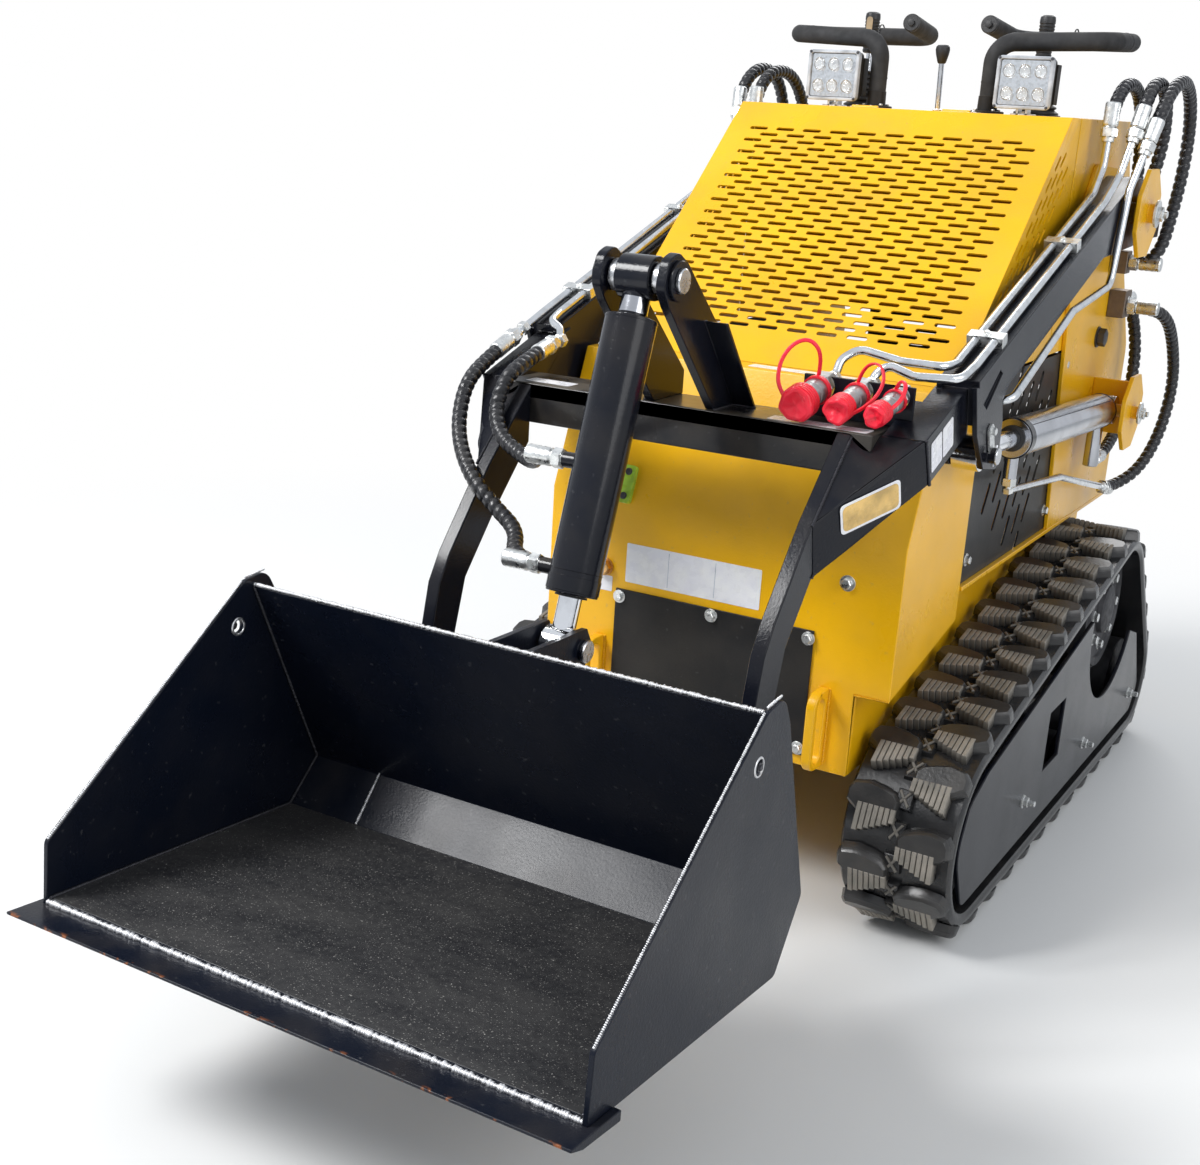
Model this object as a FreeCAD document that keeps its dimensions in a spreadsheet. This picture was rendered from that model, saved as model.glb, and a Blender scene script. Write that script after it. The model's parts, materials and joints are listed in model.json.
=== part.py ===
import FreeCAD, Part
import math
import os
import Sketcher
from FreeCAD import Placement, Rotation, Vector

# A mini track loader: a ride-behind skid loader on two rubber tracks, with a lift arm and a bucket.
# Millimetres, +Z up, the front faces -Y, +X is the machine's left, the ground is Z = 0.
# The machine is the same on both sides of X = 0 unless a piece says otherwise.

doc = FreeCAD.newDocument("mini_track_loader")
sheet = doc.addObject("Spreadsheet::Sheet", "Sizes")

# Driving dimensions: alias, value in mm (angles in degrees), meaning.
SIZES = [
    # tracks
    ("track_half", 444, "outer edge of a track from the middle"),
    ("track_width", 180, "rubber track width"),
    ("track_thick", 42, "belt and lugs together"),
    ("idler_y", -104, "front idler axle"),
    ("idler_radius", 170, "front idler, outside of the lugs"),
    ("rear_idler_y", 955, "rear idler axle"),
    ("rear_idler_radius", 130, "rear idler, outside of the lugs"),
    ("sprocket_y", 732, "drive sprocket axle"),
    ("sprocket_z", 340, "drive sprocket axle height"),
    ("sprocket_radius", 165, "drive sprocket, outside of the lugs"),
    ("roller_radius", 52, "bottom roller"),
    ("roller_pitch", 205, "from roller to roller"),
    ("roller_first_y", 90, "first bottom roller"),
    ("wheel_width", 96, "idlers, rollers and sprocket"),
    ("wheel_gap", 1, "idlers and rollers to the belt"),
    ("axle_radius", 17, "idler and roller axles"),
    ("side_plate_thick", 8, "outer plate of a track frame"),
    ("side_plate_inset", 6, "outer plate inside the edge of the track"),
    ("recess_radius", 185, "round opening at the sprocket"),
    # chassis
    ("frame_half", 252, "outside of the chassis between the tracks"),
    ("frame_plate", 8, "chassis plates"),
    ("belly_z", 262, "underside of the chassis"),
    ("front_y", -228, "front face of the chassis"),
    ("frame_rear_y", 1046, "rear end of the chassis"),
    ("box_half", 309, "half width of the front box above the tracks"),
    ("box_low_z", 400, "lower front edge of the overhang"),
    ("box_rear_y", 58, "rear edge of the front box sides"),
    ("box_rise", 62, "rise of the overhang to the rear"),
    ("fold_z", 639, "fold of the front face"),
    ("ledge_y", -143, "top of the sloped panel"),
    ("ledge_z", 863, "ledge in front of the hood"),
    ("box_sheet", 5, "sheet of the front box"),
    ("access_half", 177, "half width of the access plate"),
    ("access_low_z", 280, "lower edge of the access plate"),
    ("access_high_z", 488, "upper edge of the access plate"),
    ("access_thick", 4, "access plate"),
    ("loop_x", 203, "tow loops from the middle"),
    ("loop_plate", 16, "tow loop plate"),
    ("loop_length", 131, "tow loop, top to bottom"),
    ("loop_low_z", 271, "lower end of the tow loops"),
    ("loop_reach", 52, "tow loop in front of the chassis"),
    ("loop_slot", 28, "width of the slot in a tow loop"),
    # hood and rear body
    ("hood_half", 304, "half width of the hood"),
    ("hood_sheet", 3, "hood sheet"),
    ("hood_lip_y", -88, "lower front edge of the hood"),
    ("hood_crown_y", 367, "top of the sloped grille"),
    ("hood_top_z", 1264, "top of the hood"),
    ("hood_rear_y", 420, "rear edge of the hood, its hinge"),
    ("hinge_bar", 4, "radius of a hood hinge knuckle"),
    ("hinge_x", 60, "inner end of a hood hinge knuckle"),
    ("hinge_long", 50, "length of a hood hinge knuckle"),
    ("seam", 5, "gap between the hood and the cowl"),
    ("cowl_rear_y", 776, "rear edge of the cowl's top"),
    ("dash_low_y", 850, "rear face of the cowl"),
    ("dash_low_z", 1130, "lower edge of the control panel"),
    ("deck_z", 520, "top of the deck plates above the tracks"),
    ("engine_half", 188, "half width of the engine"),
    ("engine_front_y", 98, "front of the engine"),
    ("engine_long", 390, "engine, front to rear"),
    ("engine_mount", 90, "height of the engine mounts"),
    ("engine_mount_x", 152, "inner face of an engine mount"),
    ("engine_mount_wide", 50, "engine mount"),
    ("upright_thick", 8, "upright plate"),
    ("upright_front_y", 560, "front edge of the uprights"),
    ("upright_rear_y", 990, "rear edge of the uprights"),
    # lift arm
    ("pivot_y", 590, "lift arm pivot"),
    ("pivot_z", 1110, "lift arm pivot height"),
    ("pivot_pin", 17, "radius of the pivot pins"),
    ("arm_inner", 320, "inner face of an arm"),
    ("arm_width", 60, "width of an arm"),
    ("arm_gap", 14, "arm to the outer pivot plate"),
    ("ear_plate", 8, "outer plates at the pins"),
    ("arm_front_y", -215, "front end of the straight arm"),
    ("arm_front_z", 900, "top of the arm at its front end"),
    ("arm_rear_z", 1152, "top of the arm near its pivot"),
    ("arm_depth", 75, "height of the arm"),
    ("arm_tail", 60, "radius of the arm's rear end"),
    ("nose_inner", 300, "inner face of the arm's front box"),
    ("nose_width", 63, "width of the arm's front box"),
    ("nose_y", -367, "front corner of the arm's front box"),
    ("nose_z", 834, "top of the arm's front box at that corner"),
    ("nose_depth", 66, "height of the arm's front box"),
    ("elbow_y", -514, "front end of the elbow, on the leg"),
    ("elbow_z", 728, "top of the elbow at its front end"),
    ("elbow_depth", 78, "height of the elbow at its front end"),
    ("knee_y", -608, "bend in the front edge of a leg"),
    ("knee_z", 612, "bend in the front edge of a leg, height"),
    ("leg_deep", 62, "front leg, front to rear"),
    ("leg_inner", 249, "inner face of a front leg"),
    ("leg_plate", 21, "front leg plate"),
    ("cross_front_y", -405, "front face of the cross member"),
    ("cross_deep", 100, "cross member, front to rear"),
    ("cross_top_z", 838, "top of the cross member"),
    ("cross_high", 60, "height of the cross member"),
    ("tilt_y", -537, "upper pin of the tilt cylinder"),
    ("tilt_z", 1029, "upper pin of the tilt cylinder, height"),
    ("tilt_ear_inner", 42, "inner face of a tilt ear"),
    ("tilt_ear_plate", 14, "tilt ear plate"),
    ("tilt_ear_radius", 38, "round end of a tilt ear"),
    ("tilt_pin", 15, "radius of the tilt pins"),
    # bucket
    ("bucket_pin_y", -655, "bucket pivot"),
    ("bucket_pin_z", 318, "bucket pivot height"),
    ("bucket_pin", 15, "radius of the bucket pins"),
    ("bucket_half", 394, "half width of the bucket over its side plates"),
    ("bucket_plate", 7, "bucket plates"),
    ("tip_y", -1304, "front of the cutting edge"),
    ("tip_z", 276, "front of the cutting edge, height"),
    ("floor_y", -1250, "front end of the bucket floor"),
    ("floor_z", 278, "front end of the bucket floor, height"),
    ("heel_y", -803, "rear end of the bucket floor"),
    ("heel_z", 246, "rear end of the bucket floor, height"),
    ("back_y", -742, "lower end of the bucket's back"),
    ("back_z", 302, "lower end of the bucket's back, height"),
    ("lip_y", -876, "top edge of the bucket's back"),
    ("lip_z", 595, "top edge of the bucket's back, height"),
    ("edge_lap", 101, "cutting edge, front to rear"),
    ("edge_over", 10, "cutting edge beyond the side plates"),
    ("edge_thick", 14, "cutting edge"),
    ("hook_y", -698, "lower pin of the tilt cylinder"),
    ("hook_z", 549, "lower pin of the tilt cylinder, height"),
    # cylinders
    ("tilt_barrel", 36, "outer radius of the tilt barrel"),
    ("tilt_rod", 16, "radius of the tilt rod"),
    ("lift_barrel", 32, "outer radius of a lift barrel"),
    ("lift_rod", 15, "radius of a lift rod"),
    ("lift_base_y", 715, "rear pin of a lift cylinder"),
    ("lift_base_z", 737, "rear pin of a lift cylinder, height"),
    ("lift_eye_y", -122, "front pin of a lift cylinder"),
    ("lift_eye_z", 780, "front pin of a lift cylinder, height"),
    ("lift_eye_half", 20, "half width of a lift cylinder's eyes"),
    ("lift_eye", 27, "outer radius of a lift cylinder's eyes"),
    ("tilt_eye_half", 26, "half width of the tilt cylinder's upper eye"),
    ("tilt_eye", 30, "outer radius of the tilt cylinder's upper eye"),
    ("hook_half", 20, "half width of the tilt cylinder's rod eye"),
    ("hook_eye", 26, "outer radius of the tilt cylinder's rod eye"),
    ("leg_foot", 36, "round end of a front leg"),
    ("ear_side", 5, "gap beside a front leg at the bucket ears"),
    ("bucket_hole", 10, "radius of the hole in a bucket side"),
    ("bucket_hole_y", -907, "hole in a bucket side"),
    ("bucket_hole_z", 545, "hole in a bucket side, height"),
    ("dash_half", 240, "half width of the control panel"),
    ("dash_thick", 5, "control panel"),
    ("pad_thick", 46, "thigh pad"),
    ("platform_half", 250, "half width of the step"),
    ("platform_z", 262, "top of the step"),
    ("platform_deep", 246, "step, front to rear"),
    ("platform_sheet", 6, "plate of the step"),
    ("platform_lip", 40, "height of the step's rear lip"),
    ("platform_arm", 12, "arm of the step"),
    ("cylinder_pin", 12, "radius of the lift cylinder pins"),
    ("bracket_reach", 70, "outer plate of a lift cylinder bracket, pin to edge"),
    ("pin_head", 12, "pin end outside its plate"),
    ("handle_post", 106, "post of a hand loop from the middle"),
    ("handle_out", 301, "outer side of a hand loop"),
    ("handle_y", 525, "post of a hand loop"),
    ("handle_tip_x", 74, "end of a hand loop from the middle"),
    ("handle_tip", 57, "end of a hand loop behind its post"),
    ("handle_back", 210, "rear bar of a hand loop behind its post"),
    ("handle_high", 130, "hand loop above the hood's top"),
    ("handle_bar", 16, "radius of a hand loop's foam"),
    ("lamp_x", 179, "work light from the middle"),
    ("lamp_y", 503, "middle of a work light"),
    ("lamp_wide", 100, "work light"),
    ("lamp_high", 89, "work light"),
    ("lamp_deep", 50, "work light"),
    ("lamp_lift", 10, "work light above the hood's top"),
    ("stick_x", 167, "drive lever from the middle"),
    ("stick_y", 622, "drive lever"),
    ("stick_high", 174, "drive lever above the cowl"),
    ("boot_radius", 40, "lower end of a drive lever's boot"),
    ("boot_high", 66, "boot of a drive lever"),
    ("stick_bar", 6, "radius of a drive lever's shaft"),
    ("stick_grip", 14, "radius of a drive lever's grip"),
    ("grip_long", 70, "grip of a drive lever"),
    ("lift_lever_y", 565, "lift lever"),
    ("lift_lever_high", 104, "lift lever above the cowl"),
    ("lift_lever_bar", 5, "radius of the lift lever's shaft"),
    ("lift_lever_knob", 13, "radius of the lift lever's knob"),
    ("lift_lever_lean", 4, "lean of the lift lever to the front, degrees"),
    ("line_bar", 6.5, "radius of the steel oil lines"),
    ("line_pitch", 28, "from line to line on an arm"),
    ("line_lift", 10, "axis of a line above the arm"),
    ("clamp_front_y", -105, "front line clamp"),
    ("clamp_rear_y", 239, "rear line clamp"),
    ("clamp_wide", 55, "line clamp, across the arm"),
    ("clamp_long", 20, "line clamp, along the arm"),
    ("clamp_high", 17, "height of a line clamp"),
    ("hose_bar", 12, "radius of a hose over its spiral guard"),
    ("plate_y", -322, "front face of the coupler plate"),
    ("plate_x", 158, "inner end of the coupler plate"),
    ("plate_wide", 166, "coupler plate, across the machine"),
    ("plate_high", 58, "height of the coupler plate"),
    ("plate_thick", 6, "coupler plate"),
    ("tilt_show", 70, "tilt rod between its eye and the barrel, as it stands"),
    ("lift_show", 219, "lift rod between its eye and the barrel, as it stands"),
    ("tilt_piston_at", 108, "tilt piston from the upper pin, as it stands"),
    ("lift_piston_at", 200, "lift piston from the rear pin, as it stands"),
    ("piston", 30, "length of a cylinder piston"),
    ("port_bar", 11, "radius of an oil port"),
    ("port_long", 20, "length of an oil port"),
    ("block_out", 33, "lower port blocks on an upright, outward"),
    ("loop_block_out", 72, "upper port block on an upright, outward"),
    ("gland", 22, "length of a cylinder gland"),
    ("barrel_floor", 14, "closed end of a barrel"),
    ("rod_root", 20, "start of a rod inside its piston"),
    ("rod_tip", 10, "end of a rod from the middle of its eye"),
    ("tilt_barrel_from", 56, "closed end of the tilt barrel from its pin"),
    ("lift_barrel_from", 44, "closed end of a lift barrel from its pin"),
    ("bore_wall", 6, "wall of a cylinder barrel"),
    ("pin_fit", 0.3, "clearance of a pin in its bore"),
    ("run_gap", 5, "clearance beside moving pieces"),
    ("seat_gap", 0.3, "clearance of a piece on its seat"),
]


class Size:
    """A length that knows its value and the sheet expression that gives it."""

    def __init__(self, number, text):
        self.number = float(number)
        self.text = text

    def join(self, other, sign, number):
        text = other.text if isinstance(other, Size) else repr(other)
        return Size(number, f"({self.text} {sign} {text})")

    def __add__(self, other):
        return self.join(other, "+", self.number + value(other))

    def __sub__(self, other):
        return self.join(other, "-", self.number - value(other))

    def __mul__(self, other):
        return self.join(other, "*", self.number * value(other))

    def __truediv__(self, other):
        return self.join(other, "/", self.number / value(other))

    def __radd__(self, other):
        return Size(other, repr(other)) + self

    def __rsub__(self, other):
        return Size(other, repr(other)) - self

    def __rmul__(self, other):
        return Size(other, repr(other)) * self

    def __neg__(self):
        return Size(-self.number, f"(0 - {self.text})")


def value(size):
    """The plain number of a Size or of a number."""
    return size.number if isinstance(size, Size) else float(size)


class Named:
    """The sheet's cells as Size values: dim.track_width and so on."""


dim = Named()
for row, (alias, number, meaning) in enumerate(SIZES, start=1):
    sheet.set(f"A{row}", alias)
    sheet.set(f"B{row}", str(number))
    sheet.set(f"C{row}", meaning)
    sheet.setAlias(f"B{row}", alias)
    setattr(dim, alias, Size(number, f"Sizes.{alias}"))
doc.recompute()

nodes = []          # the sub-parts, each written to its own file


def bind(item, **sizes):
    """Tie properties of a document object to the sheet; a plain number is set as it is."""
    for name, size in sizes.items():
        if isinstance(size, Size):
            item.setExpression(name, size.text)
        else:
            setattr(item, name, size)
    return item


def place(item, x=0, y=0, z=0):
    """Put an object's base at a point given by sizes."""
    item.Placement.Base = Vector(value(x), value(y), value(z))
    for axis, size in zip("xyz", (x, y, z)):
        if isinstance(size, Size):
            item.setExpression(f"Placement.Base.{axis}", size.text)
    return item


def node(item, label):
    """Register an object as the sub-part with this name."""
    item.Label = label
    nodes.append(item)
    return item


def box(x0, x1, y0, y1, z0, z1):
    """A block between two corners given by sizes."""
    item = doc.addObject("Part::Box", "Block")
    bind(item, Length=x1 - x0, Width=y1 - y0, Height=z1 - z0)
    return place(item, x0, y0, z0)


def across(x0, x1, y, z, radius):
    """A round bar along X, from x0 to x1, about the line (y, z)."""
    item = doc.addObject("Part::Cylinder", "Bar")
    bind(item, Radius=radius, Height=x1 - x0)
    item.Placement = Placement(Vector(), Rotation(Vector(0, 1, 0), 90))
    return place(item, x0, y, z)


def outline(x0, x1, points, rounds=()):
    """A plate along X with an outline of (y, z) corners; rounds = (corner number, radius) pairs."""
    body = doc.addObject("PartDesign::Body", "Plate")
    plane = next(f for f in body.Origin.OriginFeatures if f.Role == "YZ_Plane")
    sketch = body.newObject("Sketcher::SketchObject", "Outline")
    sketch.AttachmentSupport = [(plane, "")]
    sketch.MapMode = "FlatFace"
    count = len(points)
    flat = [Vector(value(y), value(z), 0) for y, z in points]
    for i in range(count):
        sketch.addGeometry(Part.LineSegment(flat[i], flat[(i + 1) % count]), False)
    for i in range(count):
        sketch.addConstraint(Sketcher.Constraint("Coincident", i, 2, (i + 1) % count, 1))
    for i, corner in enumerate(points):
        for kind, size in zip(("DistanceX", "DistanceY"), corner):
            at = sketch.addConstraint(Sketcher.Constraint(kind, -1, 1, i, 1, value(size)))
            if isinstance(size, Size):
                sketch.setExpression(f"Constraints[{at}]", size.text)
    pad = body.newObject("PartDesign::Pad", "Thickness")
    pad.Profile = sketch
    bind(pad, Length=x1 - x0)
    doc.recompute()
    for number, radius in rounds:
        corner = flat[number]
        edges = [f"Edge{k}" for k, edge in enumerate(body.Shape.Edges, start=1)
                 if len(edge.Vertexes) == 2 and all(
                     abs(v.Y - corner.x) + abs(v.Z - corner.y) < 0.01 for v in edge.Vertexes)]
        base = body.Tip
        fillet = body.newObject("PartDesign::Fillet", "Round")
        fillet.Base = (base, edges)
        bind(fillet, Radius=radius)
        body.Tip = fillet
        doc.recompute()
        if "Invalid" in fillet.State:
            raise ValueError(f"corner {number} at {corner} with {value(radius)} did not round: {edges}")
    return place(body, x0)


def cut(base, *tools):
    """The base with the tools taken out."""
    for tool in tools:
        item = doc.addObject("Part::Cut", "Cut")
        item.Base = base
        item.Tool = tool
        base = item
    return base


def fuse(*items):
    """One solid, or several that do not touch, from several objects."""
    item = doc.addObject("Part::MultiFuse", "Joined")
    item.Shapes = list(items)
    item.Refine = True
    return item


def mirrored(item):
    """The same object on the machine's other side."""
    copy = doc.addObject("Part::Mirroring", "OtherSide")
    copy.Source = item
    copy.Base = Vector(0, 0, 0)
    copy.Normal = Vector(1, 0, 0)
    return copy


def group(*items):
    """Several solids that do not touch, kept as one sub-part."""
    item = doc.addObject("Part::Compound", "Group")
    item.Links = list(items)
    return item


def solid(shape):
    """A shape made with Part's own functions, where no feature fits."""
    item = doc.addObject("Part::Feature", "Shape")
    item.Shape = shape
    return item


def both(piece, name):
    """A piece of the left side and its mirror image, as two nodes."""
    node(piece, f"{name}_left")
    node(mirrored(piece), f"{name}_right")


def pair(piece, name):
    """A piece and its mirror image as two solids of one node."""
    node(group(piece, mirrored(piece)), name)


# ---------------------------------------------------------------- tracks

def belt_outline(inset):
    """The closed line of tangents and arcs round the idlers and the sprocket, as a Part.Wire in X = 0."""
    wheels = [(value(dim.idler_y), value(dim.idler_radius), value(dim.idler_radius) - inset),
              (value(dim.rear_idler_y), value(dim.rear_idler_radius),
               value(dim.rear_idler_radius) - inset),
              (value(dim.sprocket_y), value(dim.sprocket_z), value(dim.sprocket_radius) - inset)]
    ends = []
    for i, (y0, z0, r0) in enumerate(wheels):
        y1, z1, r1 = wheels[(i + 1) % 3]
        far = math.hypot(y1 - y0, z1 - z0)
        heading = math.atan2(z1 - z0, y1 - y0)
        lean = math.asin((r0 - r1) / far)
        normal = heading - math.pi / 2 + lean
        out = (math.cos(normal), math.sin(normal))
        ends.append(((y0 + r0 * out[0], z0 + r0 * out[1]), (y1 + r1 * out[0], z1 + r1 * out[1]), normal))
    edges = []
    for i in range(3):
        start, end, normal = ends[i]
        after, _, turned = ends[(i + 1) % 3]
        y1, z1, r1 = wheels[(i + 1) % 3]
        while turned < normal:
            turned += 2 * math.pi
        middle = (normal + turned) / 2
        top = (y1 + r1 * math.cos(middle), z1 + r1 * math.sin(middle))
        edges.append(Part.LineSegment(Vector(0, *start), Vector(0, *end)).toShape())
        edges.append(Part.Arc(Vector(0, *end), Vector(0, *top), Vector(0, *after)).toShape())
    return Part.Wire(edges)


def rubber_track():
    """One rubber track: a closed loop, its lugs inside its outline."""
    width = value(dim.track_width)
    outer = Part.Face(belt_outline(0)).extrude(Vector(width, 0, 0))
    inner = Part.Face(belt_outline(value(dim.track_thick))).extrude(Vector(width, 0, 0))
    loop = solid(outer.cut(inner))
    return place(loop, dim.track_half - dim.track_width)


wheel_mid = dim.track_half - dim.track_width / 2
wheel_in = wheel_mid - dim.wheel_width / 2
wheel_out = wheel_mid + dim.wheel_width / 2
side_out = dim.track_half - dim.side_plate_inset
side_in = side_out - dim.side_plate_thick
inside_z = dim.track_thick
idler_wheel = dim.idler_radius - dim.track_thick - dim.wheel_gap
rear_wheel = dim.rear_idler_radius - dim.track_thick - dim.wheel_gap
sprocket_wheel = dim.sprocket_radius - dim.track_thick - dim.wheel_gap
roller_z = inside_z + dim.wheel_gap + dim.roller_radius


def bored(y, z, radius, x0=wheel_in, x1=wheel_out, bore=dim.axle_radius):
    """A wheel along X with a bore for its axle."""
    return cut(across(x0, x1, y, z, radius), across(x0 - 1, x1 + 1, y, z, bore + dim.pin_fit))


def track_side_plate():
    """The black outer plate of a track frame, open at the sprocket."""
    low = inside_z + 16
    points = [(dim.idler_y - 44, low), (dim.rear_idler_y + 20, low), (dim.rear_idler_y + 66, low + 48),
              (dim.rear_idler_y - 30, low + 190), (dim.sprocket_y - 210, dim.sprocket_z + 38),
              (dim.idler_y + 10, dim.idler_radius + 102), (dim.idler_y - 64, dim.idler_radius + 74),
              (dim.idler_y - 104, dim.idler_radius)]
    plate = outline(side_in, side_out, points, rounds=[(0, 30), (1, 20), (2, 20), (6, 40), (7, 60)])
    recess = across(side_in - 1, side_out + 1, dim.sprocket_y - 40, dim.sprocket_z + 22,
                    dim.recess_radius)
    window = box(side_in - 1, side_out + 1, dim.idler_y + 372, dim.idler_y + 470, low + 96, low + 206)
    return cut(plate, recess, window)


def track_beam():
    """The beam inside a track: the inner wall, the roller cradle and the stub axles."""
    wall_out = wheel_in - 4
    low = inside_z + 16
    wall = outline(dim.track_half - dim.track_width + 6, wall_out,
                   [(dim.idler_y - 40, low), (dim.rear_idler_y + 20, low),
                    (dim.rear_idler_y - 20, low + 170),
                    (dim.sprocket_y + 60, dim.sprocket_z + 70),
                    (dim.sprocket_y - 60, dim.sprocket_z + 90),
                    (dim.idler_y, dim.idler_radius + 74)])
    parts = [wall]
    spots = [(dim.idler_y, dim.idler_radius), (dim.rear_idler_y, dim.rear_idler_radius)]
    spots += [(dim.roller_first_y + dim.roller_pitch * i, roller_z) for i in range(4)]
    for y, z in spots:
        parts.append(across(wall_out - 2, side_in - dim.seat_gap, y, z, dim.axle_radius))
    hub = (wall_out - 2, wheel_in - dim.wheel_gap, dim.sprocket_y, dim.sprocket_z, dim.axle_radius * 3)
    parts.append(across(*hub))
    for y in (dim.idler_y + 250, dim.sprocket_y - 240):
        parts.append(box(dim.frame_half, wall_out - 2, y - 40, y + 40, dim.belly_z + 4, dim.belly_z + 60))
        parts.append(box(wall_out - 2, side_in - dim.seat_gap, y - 30, y + 30, dim.belly_z + 8,
                         dim.belly_z + 56))
    return fuse(*parts)


def bottom_rollers():
    """The four rollers that carry the machine on the lower run."""
    return group(*[bored(dim.roller_first_y + dim.roller_pitch * i, roller_z,
                         dim.roller_radius) for i in range(4)])


both(rubber_track(), "rubber_track")
both(track_side_plate(), "track_side_plate")
both(track_beam(), "track_frame")
pair(bottom_rollers(), "bottom_rollers")
pair(group(bored(dim.idler_y, dim.idler_radius, idler_wheel),
           bored(dim.rear_idler_y, dim.rear_idler_radius, rear_wheel)), "idlers")
pair(across(wheel_in, wheel_out, dim.sprocket_y, dim.sprocket_z, sprocket_wheel), "drive_sprockets")

# ---------------------------------------------------------------- chassis

plate = dim.frame_plate
hood_lip_z = dim.ledge_z + dim.seat_gap
upright_x = dim.hood_half + dim.seat_gap
deck_top = dim.deck_z + dim.seat_gap
low_half = dim.frame_half


def front_box():
    """The yellow nose: a low part between the tracks and a wider part that overhangs them."""
    wide = outline(-dim.box_half, dim.box_half,
                   [(dim.front_y, dim.box_low_z), (dim.box_rear_y, dim.box_low_z + dim.box_rise),
                    (dim.box_rear_y, dim.ledge_z), (dim.ledge_y, dim.ledge_z), (dim.front_y, dim.fold_z)])
    sheet_in = dim.box_sheet
    open_low_z = dim.box_low_z - 60
    open_rear_y = dim.box_rear_y + 5
    roof_z = dim.ledge_z - sheet_in
    hollow = outline(-dim.box_half + sheet_in, dim.box_half - sheet_in,
                     [(dim.front_y + sheet_in, open_low_z), (open_rear_y, open_low_z),
                      (open_rear_y, roof_z),
                      (dim.ledge_y + sheet_in * 0.7, roof_z), (dim.front_y + sheet_in, dim.fold_z - 1)])
    low_front = box(-low_half, low_half, dim.front_y, dim.front_y + plate, dim.belly_z, dim.box_low_z + 2)
    shelf_l = outline(low_half - plate, dim.box_half - sheet_in + 1,
                      [(dim.front_y + 1, dim.box_low_z), (dim.box_rear_y, dim.box_low_z + dim.box_rise),
                       (dim.box_rear_y, dim.box_low_z + dim.box_rise + sheet_in),
                       (dim.front_y + 1, dim.box_low_z + sheet_in)])
    return fuse(cut(wide, hollow), low_front, shelf_l, mirrored(shelf_l))


node(front_box(), "front_box")


def main_frame():
    """The chassis between the tracks: side plates, belly, rear wall and the tubes into the track frames."""
    top = dim.deck_z
    y0 = dim.front_y + plate
    side = outline(low_half - plate, low_half,
                   [(y0, dim.belly_z), (dim.frame_rear_y, dim.belly_z), (dim.frame_rear_y, top),
                    (dim.box_rear_y + 2, top), (dim.box_rear_y + 2, dim.box_low_z + dim.box_rise - 2),
                    (y0, dim.box_low_z - 2)])
    belly = box(-low_half + 1, low_half - 1, y0, dim.frame_rear_y, dim.belly_z, dim.belly_z + plate)
    rear = box(-low_half + 1, low_half - 1, dim.frame_rear_y - plate, dim.frame_rear_y, dim.belly_z, top)
    deck_y = dim.box_rear_y + 2
    wing = box(low_half - plate, upright_x + dim.upright_thick, deck_y, dim.upright_rear_y, top - plate,
               top)
    return fuse(side, mirrored(side), belly, rear, wing, mirrored(wing))


node(main_frame(), "main_frame")
node(box(-dim.access_half, dim.access_half, dim.front_y - dim.access_thick, dim.front_y,
         dim.access_low_z, dim.access_high_z), "access_plate")


def tow_loop():
    """A vertical plate with rounded ends and a long slot, welded to the nose."""
    x0 = dim.loop_x - dim.loop_plate / 2
    x1 = dim.loop_x + dim.loop_plate / 2
    y0 = dim.front_y - dim.loop_reach
    z1 = dim.loop_low_z + dim.loop_length
    web = (dim.loop_reach - dim.loop_slot) / 2
    body = outline(x0, x1, [(y0, dim.loop_low_z), (dim.front_y, dim.loop_low_z), (dim.front_y, z1),
                            (y0, z1)],
                   rounds=[(0, dim.loop_reach * 0.48), (3, dim.loop_reach * 0.48)])
    near, far = y0 + web, dim.front_y - web
    low, high = dim.loop_low_z + web, z1 - web
    slot = outline(x0 - 1, x1 + 1, [(near, low), (far, low), (far, high), (near, high)],
                   rounds=[(i, dim.loop_slot * 0.49) for i in range(4)])
    return cut(body, slot)


pair(tow_loop(), "tow_loops")
engine_rear_y = dim.engine_front_y + dim.engine_long
engine_low_z = dim.belly_z + plate + dim.engine_mount
node(box(-dim.engine_half, dim.engine_half, dim.engine_front_y, engine_rear_y, engine_low_z,
         hood_lip_z - 60),
     "engine_block")
mount = box(dim.engine_mount_x, dim.engine_mount_x + dim.engine_mount_wide, dim.engine_front_y + 20,
            engine_rear_y - 30, dim.belly_z + plate, engine_low_z)
pair(mount, "engine_mounts")


def engine_cover():
    """The black side cover between the nose and the upright."""
    return box(dim.hood_half - dim.hood_sheet, dim.hood_half, dim.box_rear_y + 4,
               dim.upright_front_y + 60,
               deck_top, hood_lip_z - dim.run_gap)


pair(engine_cover(), "engine_side_covers")


def hood_shell():
    """The hood: a sloped grille with folded sides, open below and behind, and its hinge knuckles."""
    skin = dim.hood_sheet
    rear = dim.hood_rear_y
    shell = outline(-dim.hood_half, dim.hood_half,
                    [(dim.hood_lip_y, hood_lip_z), (rear, hood_lip_z), (rear, dim.hood_top_z),
                     (dim.hood_crown_y, dim.hood_top_z)])
    hollow = outline(-dim.hood_half + skin, dim.hood_half - skin,
                     [(dim.hood_lip_y + skin * 1.5, hood_lip_z - 5), (rear + 5, hood_lip_z - 5),
                      (rear + 5, dim.hood_top_z - skin), (dim.hood_crown_y + skin * 0.37,
                                                          dim.hood_top_z - skin),
                      (dim.hood_lip_y + skin * 1.5, hood_lip_z + 0.2)])
    knuckle = across(dim.hinge_x, dim.hinge_x + dim.hinge_long, rear, dim.hood_top_z, dim.hinge_bar)
    return fuse(cut(shell, hollow), knuckle, mirrored(knuckle))


node(hood_shell(), "hood")


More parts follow.
